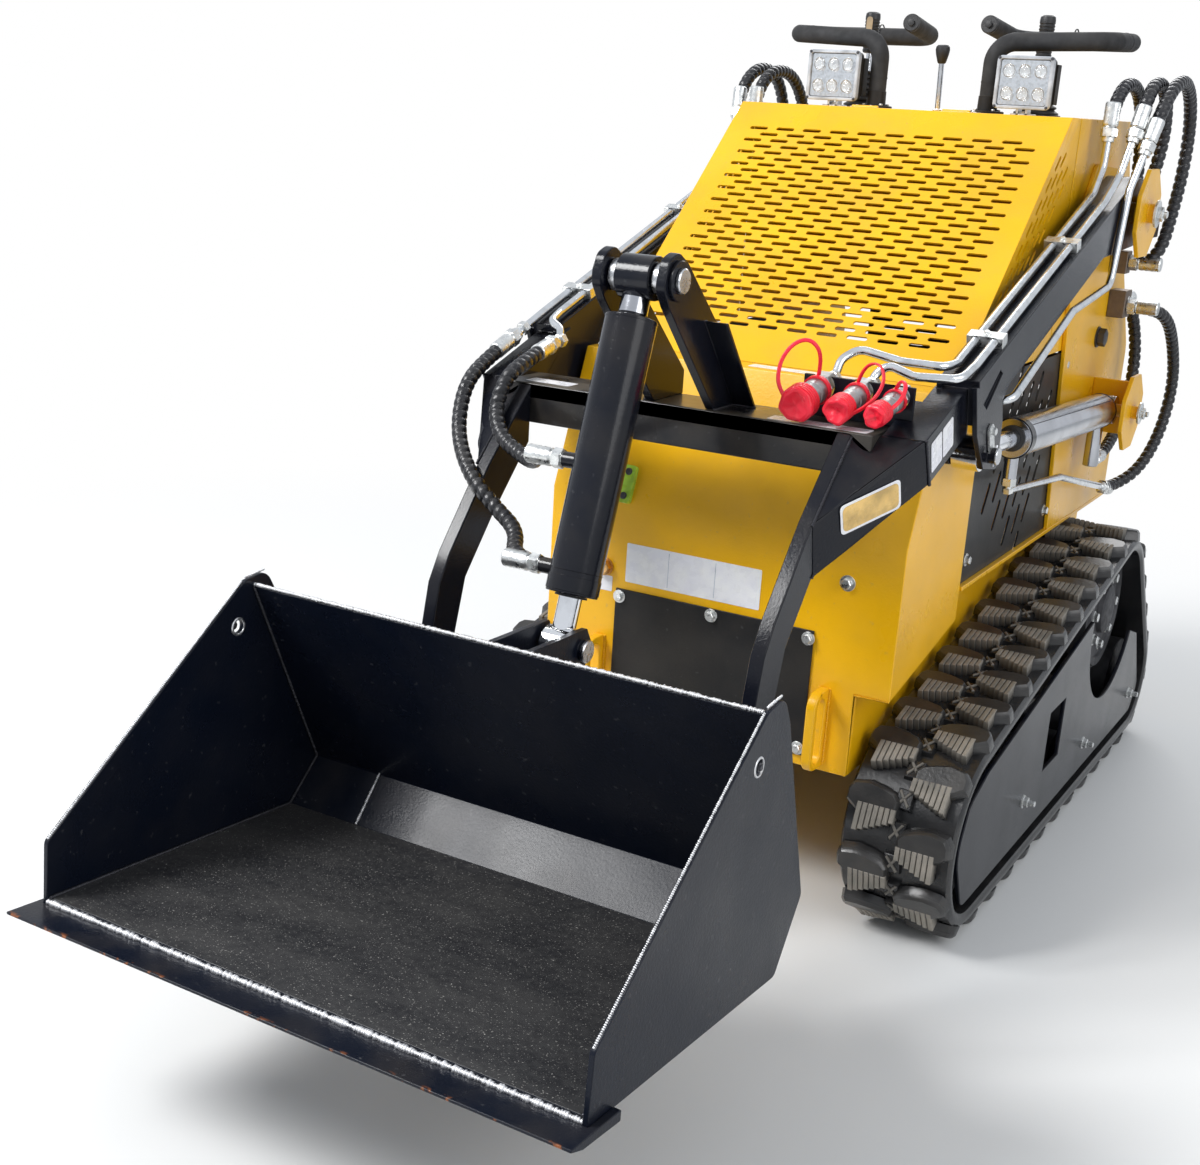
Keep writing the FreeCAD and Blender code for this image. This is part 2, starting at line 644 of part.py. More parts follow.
def rear_cowl():
    """The fixed cowl behind the hood: roof, sides and the sloped dash frame, open in front and below."""
    skin = dim.hood_sheet
    front = dim.hood_rear_y + dim.seam
    points = [(front, hood_lip_z), (dim.dash_low_y, hood_lip_z), (dim.dash_low_y, dim.dash_low_z),
              (dim.cowl_rear_y, dim.hood_top_z), (front, dim.hood_top_z)]
    shell = outline(-dim.hood_half, dim.hood_half, points)
    hollow = outline(-dim.hood_half + skin, dim.hood_half - skin,
                     [(front - 5, hood_lip_z - 5), (dim.dash_low_y - skin, hood_lip_z - 5),
                      (dim.dash_low_y - skin, dim.dash_low_z - 1),
                      (dim.cowl_rear_y - 1, dim.hood_top_z - skin),
                      (front - 5, dim.hood_top_z - skin)])
    return cut(shell, hollow)


node(rear_cowl(), "rear_cowl")


def upright():
    """A thick plate that carries the arm pivot and the lift cylinder's rear pin."""
    x0 = upright_x
    x1 = x0 + dim.upright_thick
    points = [(dim.upright_front_y, dim.deck_z), (dim.upright_rear_y, dim.deck_z),
              (dim.upright_rear_y, dim.lift_base_z + 90), (dim.pivot_y + 130, dim.pivot_z + 70),
              (dim.pivot_y - 40, dim.pivot_z + 80), (dim.pivot_y - 120, dim.pivot_z - 30)]
    return outline(x0, x1, points, rounds=[(2, 60), (3, 50), (4, 30), (5, 40)])


pivot_out = dim.arm_inner + dim.arm_width + dim.arm_gap


def octagon(x0, x1, y, z, radius):
    """An eight-sided plate about a pin."""
    short = radius * 0.4142
    return outline(x0, x1, [(y - short, z - radius), (y + short, z - radius), (y + radius, z - short),
                            (y + radius, z + short), (y + short, z + radius), (y - short, z + radius),
                            (y - radius, z + short), (y - radius, z - short)])


def pivot_bracket():
    """The outer plate at the arm pivot, with a rear web to the upright and the pin."""
    reach = dim.arm_tail + 8
    web_y = dim.pivot_y + reach
    plate_x = octagon(pivot_out, pivot_out + dim.ear_plate, dim.pivot_y, dim.pivot_z,
                      reach + dim.ear_plate)
    web = box(upright_x + dim.upright_thick, pivot_out + 1, web_y, web_y + dim.ear_plate,
              dim.pivot_z - 25, dim.pivot_z + 25)
    pin = across(upright_x + dim.upright_thick, pivot_out + dim.ear_plate + dim.pin_head, dim.pivot_y,
                 dim.pivot_z,
                 dim.pivot_pin)
    return fuse(plate_x, web, pin)


def lift_bracket():
    """The bracket of the lift cylinder's rear pin: outer plate, rear web and the pin."""
    reach = dim.bracket_reach
    plate_x = octagon(pivot_out, pivot_out + dim.ear_plate, dim.lift_base_y, dim.lift_base_z, reach)
    x0 = upright_x + dim.upright_thick
    web_y = dim.lift_base_y + reach * 0.55
    web = box(x0, pivot_out + 1, web_y, web_y + dim.ear_plate, dim.lift_base_z - reach * 0.74,
              dim.lift_base_z + reach * 0.74)
    pin_out = pivot_out + dim.ear_plate + dim.pin_head
    pin = across(x0, pin_out, dim.lift_base_y, dim.lift_base_z, dim.cylinder_pin)
    return fuse(plate_x, web, pin)


pair(upright(), "uprights")
pair(pivot_bracket(), "pivot_brackets")
pair(lift_bracket(), "lift_brackets")


# ---------------------------------------------------------------- operator's station

def tube(points, radius, bend, report=False):
    """A round bar along straight runs joined by tangent arcs of one radius, less where a run is short."""
    edges = []
    sizes = []
    start = points[0]
    for before, corner, after in zip(points, points[1:], points[2:]):
        along = (corner - before).normalize()
        away = (after - corner).normalize()
        turn = along.getAngle(away)
        shorter = min((corner - before).Length, (after - corner).Length)
        cutback = min(bend * math.tan(turn / 2), 0.45 * shorter)
        size = cutback / math.tan(turn / 2)
        enter = corner - along * cutback
        leave = corner + away * cutback
        inward = (away - along).normalize()
        middle = corner + inward * (size / math.cos(turn / 2) - size)
        edges.append(Part.LineSegment(start, enter).toShape())
        edges.append(Part.Arc(enter, middle, leave).toShape())
        sizes.append(round(size))
        start = leave
    edges.append(Part.LineSegment(start, points[-1]).toShape())
    path = Part.Wire(edges)
    section = Part.Wire(Part.Circle(points[0], points[1] - points[0], radius).toShape())
    pipe = path.makePipeShell([section], True, True)
    expected = math.pi * radius * radius * path.Length
    if abs(pipe.Volume / expected - 1) > 0.01:
        raise ValueError(f"tube volume {pipe.Volume:.0f} is not {expected:.0f}")
    if report:
        print("radii", sizes)
    return solid(pipe)


def handle_loop():
    """A foam-covered hand loop on a post: out, back, in and forward again."""
    y0 = dim.handle_y
    z0 = dim.hood_top_z
    top = z0 + dim.handle_high
    rear = y0 + dim.handle_back
    route = [(dim.handle_post, y0, z0), (dim.handle_post, y0, top - 8), (dim.handle_out, y0 + 44, top),
             (dim.handle_out, rear, top + 6), (dim.handle_tip_x + 8, rear, top + 6),
             (dim.handle_tip_x, y0 + dim.handle_tip, top + 24)]
    return tube([Vector(*map(value, corner)) for corner in route], value(dim.handle_bar), 38)


pair(handle_loop(), "grab_handles")


def work_light():
    """A square lamp on a bracket on the hood's top."""
    x0 = dim.lamp_x - dim.lamp_wide / 2
    y0 = dim.lamp_y - dim.lamp_deep / 2
    z0 = dim.hood_top_z + dim.lamp_lift
    lamp = box(x0, x0 + dim.lamp_wide, y0, y0 + dim.lamp_deep, z0, z0 + dim.lamp_high)
    foot = box(dim.lamp_x - 20, dim.lamp_x + 20, dim.lamp_y - 11, dim.lamp_y + 11, dim.hood_top_z, z0)
    return fuse(lamp, foot)


pair(work_light(), "work_lights")


def dash_panel():
    """The control panel on the cowl's sloped rear face."""
    top = Vector(0, value(dim.cowl_rear_y), value(dim.hood_top_z))
    low = Vector(0, value(dim.dash_low_y), value(dim.dash_low_z))
    out = Vector(0, top.z - low.z, low.y - top.y).normalize()
    near = value(dim.seat_gap)
    far = near + value(dim.dash_thick)
    margin = (low - top) * 0.06
    foot = [top + margin, low - margin]
    corners = [foot[0] + out * near, foot[1] + out * near, foot[1] + out * far, foot[0] + out * far]
    return outline(-dim.dash_half, dim.dash_half, [(corner.y, corner.z) for corner in corners])


node(dash_panel(), "control_panel")
node(box(-dim.hood_half + 20, dim.hood_half - 20, dim.dash_low_y + dim.seat_gap,
         dim.dash_low_y + dim.pad_thick,
         hood_lip_z + 10, dim.dash_low_z - 20), "thigh_pad")
node(box(-low_half + 4, low_half - 4, dim.frame_rear_y - 60, dim.frame_rear_y - 54,
         deck_top, hood_lip_z - 10), "rear_grille")


def platform():
    """The step that the operator stands on, on two arms from the chassis."""
    half = dim.platform_half
    front = dim.frame_rear_y
    rear = front + dim.platform_deep
    under_z = dim.platform_z - dim.platform_sheet
    arm = outline(half - 60, half - 60 + dim.platform_arm,
                  [(front, under_z - 24), (rear, under_z - 24), (rear, under_z),
                   (front, dim.platform_z + 70)])
    deck = box(-half, half, front + 20, rear + 12, under_z, dim.platform_z)
    lip = box(-half, half, rear + 4, rear + 12, dim.platform_z - dim.platform_lip, under_z + 1)
    return fuse(arm, mirrored(arm), deck, lip)


node(platform(), "operator_platform")


def lift_lever():
    """A thin leaning shaft with a round knob."""
    shaft = bind(doc.addObject("Part::Cylinder", "Shaft"), Radius=dim.lift_lever_bar,
                 Height=dim.lift_lever_high)
    knob = bind(doc.addObject("Part::Sphere", "Knob"), Radius=dim.lift_lever_knob)
    place(knob, 0, 0, dim.lift_lever_high)
    whole = fuse(shaft, knob)
    whole.Placement.Rotation = Rotation(Vector(1, 0, 0), value(dim.lift_lever_lean))
    return place(whole, 0, dim.lift_lever_y, dim.hood_top_z + dim.seat_gap * 2)


node(lift_lever(), "lift_lever")


def drive_lever():
    """A drive lever with its grip, standing in a boot."""
    z = dim.hood_top_z + dim.seat_gap
    shaft = bind(doc.addObject("Part::Cylinder", "Shaft"), Radius=dim.stick_bar, Height=dim.stick_high)
    grip = bind(doc.addObject("Part::Cylinder", "Grip"), Radius=dim.stick_grip, Height=dim.grip_long)
    place(shaft, dim.stick_x, dim.stick_y, z)
    place(grip, dim.stick_x, dim.stick_y, z + dim.stick_high - dim.grip_long)
    return fuse(shaft, grip)


def lever_boot():
    """The rubber boot round a drive lever."""
    cone = bind(doc.addObject("Part::Cone", "Boot"), Radius1=dim.boot_radius, Radius2=dim.stick_grip,
                Height=dim.boot_high)
    hole = bind(doc.addObject("Part::Cylinder", "Hole"), Radius=dim.stick_bar + dim.seat_gap,
                Height=dim.boot_high + 2)
    place(cone, dim.stick_x, dim.stick_y, dim.hood_top_z)
    place(hole, dim.stick_x, dim.stick_y, dim.hood_top_z - 1)
    return cut(cone, hole)


pair(drive_lever(), "drive_levers")
pair(lever_boot(), "lever_boots")

# ---------------------------------------------------------------- lift arm

arm_out = dim.arm_inner + dim.arm_width
arm_mid = dim.arm_inner + dim.arm_width / 2
tail = dim.arm_tail


arm_slope = (dim.arm_rear_z - dim.arm_front_z) / (dim.pivot_y - 85 - dim.arm_front_y)
eye_y, eye_z = dim.lift_eye_y, dim.lift_eye_z


def arm_top(y, lift=0):
    """A point (y, z) on the line of the arm's top, or above it."""
    return y, dim.arm_front_z + arm_slope * (y - dim.arm_front_y) + lift


def straight_arm():
    """The box arm from the pivot to its front box, with the plates that hold the lift cylinder's rod."""
    foot_z = dim.pivot_z - tail
    arm = outline(dim.arm_inner, arm_out,
                  [(dim.arm_front_y, dim.arm_front_z),
                   (dim.arm_front_y + 20, dim.arm_front_z - dim.arm_depth + 7),
                   (dim.pivot_y - 190, foot_z - 10), (dim.pivot_y, foot_z),
                   (dim.pivot_y, foot_z + tail * 2),
                   (dim.pivot_y - 85, dim.arm_rear_z)])
    rear = across(dim.arm_inner, arm_out, dim.pivot_y, dim.pivot_z, tail)
    nose_low = dim.nose_z - dim.nose_depth
    nose_out = dim.nose_inner + dim.nose_width
    nose = outline(dim.nose_inner, nose_out,
                   [(dim.nose_y, dim.nose_z), (dim.nose_y + 34, nose_low), (eye_y - 70, nose_low + 48),
                    (eye_y - 63, dim.arm_front_z - 5), (dim.arm_front_y - 8, dim.arm_front_z - 16)])
    passing = outline(dim.nose_inner - 1, dim.box_half + dim.run_gap + 2,
                      [(dim.nose_y + 67, nose_low - 10), (dim.nose_y + 67, nose_low + 12),
                       (dim.nose_y + 117, dim.arm_front_z + 5), (eye_y, dim.arm_front_z + 5),
                       (eye_y, nose_low - 10)])
    web = [(dim.arm_front_y - 10, dim.arm_front_z - 8), (eye_y - 73, eye_z + 39),
           (eye_y - 21, eye_z - 19),
           (eye_y + 52, eye_z - 31), (eye_y + 48, eye_z + 46), (eye_y + 34, eye_z + 78),
           (eye_y + 60, eye_z + 97)]
    hangers = [outline(x, x + dim.ear_plate, web, rounds=[(3, 12)])
               for x in (dim.arm_inner, arm_out - dim.ear_plate)]
    slot = outline(arm_out - dim.ear_plate / 2, arm_out + 1,
                   [(eye_y + 3, eye_z + 126), (eye_y + 15, eye_z + 120), (eye_y - 42, eye_z + 74),
                    (eye_y - 60, eye_z + 84)])
    pin = fuse(across(arm_out - 1, arm_out + dim.pin_head, eye_y, eye_z, dim.cylinder_pin),
               across(arm_mid + dim.lift_eye_half + dim.seat_gap, arm_out, eye_y, eye_z,
                      dim.cylinder_pin))
    bore = across(dim.arm_inner - 1, arm_out + 1, dim.pivot_y, dim.pivot_z, dim.pivot_pin + dim.pin_fit)
    return cut(fuse(arm, rear, cut(nose, passing), *hangers, pin), bore, slot)


def elbow(arm):
    """The box that turns in and down from the arm's front box to the leg."""
    outer, inner = value(dim.nose_inner + dim.nose_width), value(dim.nose_inner)
    leg_out = value(dim.leg_inner + dim.leg_plate)
    top = (value(dim.nose_y), value(dim.nose_z))
    low = (top[0] + 34, top[1] - value(dim.nose_depth))
    front = (value(dim.elbow_y), value(dim.elbow_z))
    under = (front[0] + 19, front[1] - value(dim.elbow_depth))
    behind = value(dim.cross_front_y)
    roof = value(dim.cross_top_z) - 8
    ends = [[(outer, *top), (outer, *low), (inner, *low), (inner, *top)],
            [(leg_out, *front), (leg_out, *under), (leg_out, behind, roof - 82), (leg_out, behind, roof)]]
    wires = [Part.makePolygon([Vector(*p) for p in end + end[:1]]) for end in ends]
    box_shape = Part.makeLoft(wires, True, True)
    if box_shape.Volume < 0:
        box_shape.reverse()
    return cut(solid(box_shape), arm)


def front_leg():
    """The plate leg from the elbow down to the bucket pivot."""
    y, z, r = dim.bucket_pin_y, dim.bucket_pin_z, dim.leg_foot
    deep = dim.leg_deep
    points = [(dim.cross_front_y, dim.cross_top_z - 2), (dim.elbow_y, dim.elbow_z),
              (dim.knee_y, dim.knee_z),
              (dim.knee_y - 24, dim.knee_z - 41), (dim.knee_y - 40, dim.knee_z - 112), (y - r, z),
              (y + r, z),
              (dim.knee_y - 40 + deep * 0.94, dim.knee_z - 112 - deep * 0.34),
              (dim.knee_y + deep * 0.7, dim.knee_z - deep * 0.73),
              (dim.elbow_y + 17, dim.elbow_z - dim.elbow_depth),
              (dim.cross_front_y, dim.cross_top_z - 90)]
    x1 = dim.leg_inner + dim.leg_plate
    leg = fuse(outline(dim.leg_inner, x1, points), across(dim.leg_inner, x1, y, z, r))
    return cut(leg, across(dim.leg_inner - 1, x1 + 1, y, z, dim.bucket_pin + dim.pin_fit))


arm = straight_arm()
bend = elbow(arm)
both(arm, "lift_arm")
both(bend, "arm_elbow")
both(front_leg(), "front_leg")
beam = box(-dim.nose_inner, dim.nose_inner, dim.cross_front_y, dim.cross_front_y + dim.cross_deep,
           dim.cross_top_z - dim.cross_high, dim.cross_top_z)
node(cut(beam, bend, mirrored(bend)), "cross_member")


def tilt_ears():
    """Two ear plates on the cross member that hold the tilt cylinder's upper pin."""
    y, z, r = dim.tilt_y, dim.tilt_z, dim.tilt_ear_radius
    x0 = dim.tilt_ear_inner
    x1 = x0 + dim.tilt_ear_plate
    rear = dim.cross_front_y + dim.cross_deep
    ear = outline(x0, x1, [(y - r, z - 8), (y - r * 0.7, z + r * 0.75), (y, z + r),
                           (y + r * 0.8, z + r * 0.55),
                           (rear, dim.cross_top_z + 36), (rear, dim.cross_top_z),
                           (dim.cross_front_y + 8, dim.cross_top_z),
                           (y - r * 0.5, z - r * 0.9)], rounds=[(i, 20) for i in (0, 1, 2, 3, 7)])
    gusset = outline(x1, x1 + 34, [(dim.cross_front_y + 70, dim.cross_top_z),
                                   (dim.cross_front_y + 78, dim.cross_top_z),
                                   (y + 96, z - 60), (y + 88, z - 60)])
    pin = across(-x1 - 5, x1 + 5, y, z, dim.tilt_pin)
    return fuse(ear, mirrored(ear), gusset, mirrored(gusset), pin)


node(tilt_ears(), "tilt_ears")

# ---------------------------------------------------------------- cylinders


def along(start_y, start_z, end_y, end_z, x, begin, end, radius):
    """A round bar on the line from start to end in a plane of X, between two distances from the start."""
    far = math.hypot(value(end_y) - value(start_y), value(end_z) - value(start_z))
    way = Vector(0, (value(end_y) - value(start_y)) / far, (value(end_z) - value(start_z)) / far)
    item = doc.addObject("Part::Cylinder", "Round")
    bind(item, Radius=radius, Height=end - begin)
    item.Placement = Placement(Vector(value(x), value(start_y), value(start_z)) + way * value(begin),
                               Rotation(Vector(0, 0, 1), way))
    return item


def barrel_set(y0, z0, y1, z1, x, eye_half, eye_radius, pin, radius, rod, begin, end, ports):
    """A cylinder barrel: base eye on its pin, closed end, bored tube and gland."""
    line = (y0, z0, y1, z1, x)
    outer = along(*line, begin, end, radius)
    neck = along(*line, eye_radius * 0.5, begin + 1, eye_radius * 0.62)
    eye = across(x - eye_half, x + eye_half, y0, z0, eye_radius)
    bore = along(*line, begin + dim.barrel_floor, end - dim.gland, radius - dim.bore_wall)
    passage = along(*line, end - dim.gland - 1, end + 1, rod + dim.pin_fit)
    hole = across(x - eye_half - 1, x + eye_half + 1, y0, z0, pin + dim.pin_fit)
    return cut(fuse(outer, neck, eye, *ports), bore, passage, hole)


def rod_set(y0, z0, y1, z1, x, eye_half, eye_radius, rod, bore, begin, reach):
    """A cylinder rod: piston, chromed rod and its eye, which holds the middle of its own pin."""
    line = (y0, z0, y1, z1, x)
    piston = along(*line, begin, begin + dim.piston, bore - dim.pin_fit)
    bar = along(*line, begin + dim.rod_root, reach, rod)
    eye = across(x - eye_half, x + eye_half, y1, z1, eye_radius)
    return fuse(piston, bar, eye)


tilt_line = (dim.tilt_y, dim.tilt_z, dim.hook_y, dim.hook_z, 0)
tilt_far = math.hypot(value(dim.hook_y - dim.tilt_y), value(dim.hook_z - dim.tilt_z))
TILT_PORTS = [(-619, 784), (-666, 645)]
tilt_ports = [across(-dim.tilt_barrel - dim.port_long, -dim.tilt_barrel + 2, y, z, dim.port_bar)
              for y, z in TILT_PORTS]
node(barrel_set(*tilt_line, dim.tilt_eye_half, dim.tilt_eye, dim.tilt_pin, dim.tilt_barrel, dim.tilt_rod,
                dim.tilt_barrel_from,
                tilt_far - dim.tilt_show, tilt_ports), "tilt_cylinder_barrel")
node(rod_set(*tilt_line, dim.hook_half, dim.hook_eye, dim.tilt_rod, dim.tilt_barrel - dim.bore_wall,
             dim.tilt_piston_at, tilt_far - dim.rod_tip), "tilt_cylinder_rod")
lift_line = (dim.lift_base_y, dim.lift_base_z, dim.lift_eye_y, dim.lift_eye_z, arm_mid)
lift_far = math.hypot(value(dim.lift_eye_y - dim.lift_base_y), value(dim.lift_eye_z - dim.lift_base_z))
GLAND_PORT = Vector(value(arm_mid), 112, 700)
BASE_PORT = Vector(value(arm_mid), 660, 634)


def drop_port(foot, radius, drop):
    """A port that hangs straight down from a lift barrel."""
    port = doc.addObject("Part::Cylinder", "Port")
    bind(port, Radius=radius, Height=drop)
    port.Placement.Base = foot
    return port


lift_ports = [drop_port(GLAND_PORT, dim.port_bar, 42), drop_port(BASE_PORT, dim.port_bar + 3, 80)]
both(barrel_set(*lift_line, dim.lift_eye_half, dim.lift_eye, dim.cylinder_pin, dim.lift_barrel,
                dim.lift_rod,
                dim.lift_barrel_from, lift_far - dim.lift_show, lift_ports), "lift_cylinder_barrel")
both(rod_set(*lift_line, dim.lift_eye_half, dim.lift_eye, dim.lift_rod, dim.lift_barrel - dim.bore_wall,
             dim.lift_piston_at, lift_far - dim.rod_tip), "lift_cylinder_rod")

# ---------------------------------------------------------------- oil lines and hoses


def route(*points):
    """Corners of a line or hose as vectors."""
    return [Vector(*point) for point in points]


def side(points):
    """The same corners on the machine's other side."""
    return [Vector(-point.x, point.y, point.z) for point in points]


# Steel lines on the arms: two on top of each arm, a third on the left arm's outer side.
LINE_IN = route((336, 488, 1235), (336, 484, 1185), (336, 440, 1139), (336, -190, 918.8))
LINE_OUT = route((376, 498, 1235), (368, 474, 1172), (364, 412, 1129.5), (364, -190, 918.8))
LINE_SIDE = route((398, 502, 1215), (388, 474, 1150), (387, 440, 992), (387, 216, 966), (387, -66, 856),
                  (352, -66, 850))
TO_FIRST = route((330, -224, 915), (270, -238, 917), (205, -240, 928), (186, -258, 912),
                 (186, -276, 888.2), (186, -299.5, 884.1))
TO_SECOND = route((360, -240, 903), (300, -264, 902), (262, -266, 914), (246, -274, 900),
                  (246, -284, 886.8), (246, -299.5, 884.1))
RIGHT_OUT = route((-364, -280, 885.5))
RIGHT_IN = route((-328, -230, 908), (-302, -242, 900), (-292.7, -258.5, 885.9), (-290, -282, 882))
# Hoses from the right arm to the tilt barrel, held at both ends.
HOSE_UPPER = route((-290, -282.6, 881.9), (-276, -404, 862), (-280, -436, 838), (-278, -459, 800),
                   (-243, -496, 770),
                   (-190, -516, 752), (-146, -552, 755), (-100, -619, 784), (-56.4, -619, 784))
HOSE_LOWER = route((-364, -280.6, 885.3), (-364, -374, 850.7), (-357, -426, 823), (-337, -471, 778),
                   (-303, -510, 742),
                   (-249, -552, 710), (-204, -560, 680), (-146, -588, 660), (-104, -666, 645),
                   (-56.4, -666, 645))
# Hoses from the arms' lines to the uprights, in loops behind the pivots.
LOOP_IN = route((336, 488, 1235.5), (336, 491.3, 1276), (336, 538, 1318), (336, 610, 1328),
                (336, 676, 1308), (336, 728, 1250),
                (336, 752, 1176), (336, 752, 1096.4))
LOOP_OUT = route((376, 498.2, 1235.5), (381.7, 515, 1279.5), (381, 560, 1322), (380, 630, 1332),
                 (380, 690, 1306),
                 (379, 722, 1250), (374, 724, 1194), (366, 720, 1150), (366, 720, 1096.4))
LOOP_SIDE = route((398, 502.2, 1215.5), (405.7, 523.5, 1265), (409, 586, 1320), (409, 672, 1340),
                  (407, 756, 1314),
                  (404, 812, 1252), (402, 818, 1170), (399, 790, 1090), (398, 758, 1040),
                  (376, 752, 1011), (345.6, 752, 1011))
# Hoses of a lift cylinder, from the upright to the line under the barrel and to the base port.
LIFT_LINE = route((350, 112, 700), (350, 112, 680), (350, 440, 648), (350, 790, 570))
LIFT_FRONT = route((345.6, 790, 926), (384, 790, 926), (410, 846, 910), (414, 930, 850), (416, 990, 762),
                   (412, 960, 664),
                   (392, 905, 590), (350, 850, 556.6), (350, 790.6, 569.9))
LIFT_REAR = route((330, 815.4, 936), (330, 860, 936), (340, 912, 876), (350, 920, 795), (350, 880, 710),
                  (350, 812, 664),
                  (350, 738, 643), (350, 674.4, 643))


def hose(points):
    """A hose with bends as wide as its runs allow."""
    return tube(points, value(dim.hose_bar), 1000, True)


def line(points):
    """A steel line with tight bends."""
    return tube(points, value(dim.line_bar), 26)


left_lines = [line(LINE_IN + TO_FIRST), line(LINE_OUT + TO_SECOND), line(LINE_SIDE)]
right_lines = [line(side(LINE_IN) + RIGHT_IN), line(side(LINE_OUT) + RIGHT_OUT)]
node(group(*left_lines, *right_lines), "arm_lines")
node(group(hose(HOSE_UPPER), hose(HOSE_LOWER)), "tilt_hoses")
node(group(hose(LOOP_IN), hose(LOOP_OUT), hose(LOOP_SIDE), hose(side(LOOP_IN)), hose(side(LOOP_OUT))),
     "loop_hoses")
both(line(LIFT_LINE), "cylinder_line")
both(group(hose(LIFT_FRONT), hose(LIFT_REAR)), "cylinder_hoses")


# Port blocks on an upright, each as y from and to, z from and to, where their hoses end.
LOOP_BLOCK = (700, 774, 1060, 1096)
SIDE_BLOCK = (734, 766, 990, 1032)
LIFT_BLOCK = (768, 815, 904, 956)


def port_blocks():
    """Oil blocks on an upright: for the loops from the arm and for the lift cylinder."""
    x0 = upright_x + dim.upright_thick
    x1 = x0 + dim.block_out
    return group(box(x0, x0 + dim.loop_block_out, *LOOP_BLOCK), box(x0, x1, *SIDE_BLOCK),
                 box(x0, x1, *LIFT_BLOCK))


pair(port_blocks(), "hose_ports")


def line_clamp(y):
    """A clamp block that holds the two lines on an arm."""
    lean = math.atan(value(arm_slope))
    up = (-dim.clamp_high * math.sin(lean), dim.clamp_high * math.cos(lean))
    front, rear = arm_top(y - dim.clamp_long / 2), arm_top(y + dim.clamp_long / 2)
    x0 = arm_mid - dim.clamp_wide / 2
    block = outline(x0, x0 + dim.clamp_wide, [front, rear, (rear[0] + up[0], rear[1] + up[1]),
                                             (front[0] + up[0], front[1] + up[1])])
    ends = arm_top(y - dim.clamp_long, dim.line_lift), arm_top(y + dim.clamp_long, dim.line_lift)
    bores = [along(*ends[0], *ends[1], arm_mid + dim.line_pitch * half, 0, dim.clamp_long * 3,
                   dim.line_bar + dim.pin_fit) for half in (-0.5, 0.5)]
    return cut(block, *bores)


pair(group(line_clamp(dim.clamp_front_y), line_clamp(dim.clamp_rear_y)), "line_clamps")

COUPLERS = [(186, 19, 26), (246, 17, 20), (302, 15, 17)]
COUPLER_REAR = (-300, 884)
COUPLER_LEAN = 10


def coupler_bar(x, radius, begin, end):
    """A round piece of a coupler, between two distances from its rear end."""
    y, z = COUPLER_REAR
    lean = math.radians(COUPLER_LEAN)
    far = (y - 100 * math.cos(lean), z - 100 * math.sin(lean))
    return along(y, z, *far, x, begin, end, radius)


def coupler_plate():
    """The upright plate on the cross member that holds the couplers."""
    y0 = dim.plate_y
    plate_x = box(dim.plate_x, dim.plate_x + dim.plate_wide, y0, y0 + dim.plate_thick, dim.cross_top_z,
                  dim.cross_top_z + dim.plate_high)
    holes = [coupler_bar(x, radius + dim.seat_gap, 0, 60) for x, radius, cap in COUPLERS]
    return cut(plate_x, arm, bend, *holes)


node(coupler_plate(), "coupler_plate")
node(group(*[coupler_bar(x, radius, 0, 84) for x, radius, cap in COUPLERS]), "quick_couplers")
node(group(*[coupler_bar(x, cap, 84, 117) for x, radius, cap in COUPLERS]), "coupler_caps")

# ---------------------------------------------------------------- bucket

inside_line = [(dim.floor_y, dim.floor_z), (dim.heel_y, dim.heel_z), (dim.back_y, dim.back_z),
               (dim.lip_y, dim.lip_z)]
inside = [(value(y), value(z)) for y, z in inside_line]


def bent_plate(points, thick, half):
    """A plate bent along X, its inside on a line of (y, z) points, its thickness on the outer side."""
    outside = []
    for i, (y, z) in enumerate(points):
        normals = []
        for a, b in (points[max(i - 1, 0):i + 1], points[i:i + 2]) if 0 < i < len(points) - 1 else (
                (points[:2],) if i == 0 else (points[-2:],)):
            far = math.hypot(b[0] - a[0], b[1] - a[1])
            normals.append(((b[1] - a[1]) / far, -(b[0] - a[0]) / far))
        ny = sum(n[0] for n in normals) / len(normals)
        nz = sum(n[1] for n in normals) / len(normals)
        scale = thick / (ny * ny + nz * nz)
        outside.append((y + ny * scale, z + nz * scale))
    ring = [Vector(-half, y, z) for y, z in points + outside[::-1]]
    return solid(Part.Face(Part.makePolygon(ring + ring[:1])).extrude(Vector(2 * half, 0, 0)))


shell_half = value(dim.bucket_half - dim.bucket_plate)
shell = bent_plate(inside, value(dim.bucket_plate), shell_half)
node(shell, "bucket_shell")


def bucket_side():
    """A side plate of the bucket, with a round lobe and a hole at its top rear corner."""
    x0 = dim.bucket_half - dim.bucket_plate
    points = [(dim.floor_y - 6, dim.floor_z - 10), (dim.floor_y, dim.floor_z + 75),
              (dim.lip_y - 17, dim.lip_z + 12),
              (dim.lip_y + 28, dim.lip_z + 17), (dim.lip_y + 50, dim.lip_z - 21),
              (dim.back_y + 8, dim.back_z + 12),
              (dim.heel_y + 5, dim.heel_z - 20)]
    corners = [(1, 12), (2, 24), (3, 24), (4, 20), (5, 12), (6, 12)]
    side_plate = outline(x0, dim.bucket_half, points, rounds=corners)
    return cut(side_plate, across(x0 - 1, dim.bucket_half + 1, dim.bucket_hole_y, dim.bucket_hole_z,
                                  dim.bucket_hole))


bucket_plate_side = bucket_side()
node(group(bucket_plate_side, mirrored(bucket_plate_side)), "bucket_sides")


def cutting_edge():
    """The flat bevelled edge welded under the front of the floor."""
    rear = (dim.tip_y + dim.edge_lap, dim.tip_z - 10)
    half = dim.bucket_half + dim.edge_over
    return outline(-half, half, [rear, (dim.tip_y + 30, dim.tip_z - 3), (dim.tip_y, dim.tip_z),
                                 (dim.tip_y, dim.tip_z - 4),
                                 (dim.tip_y + 24, dim.tip_z - dim.edge_thick),
                                 (rear[0], rear[1] - dim.edge_thick)])


node(cut(cutting_edge(), bucket_plate_side, mirrored(bucket_plate_side), shell), "cutting_edge")


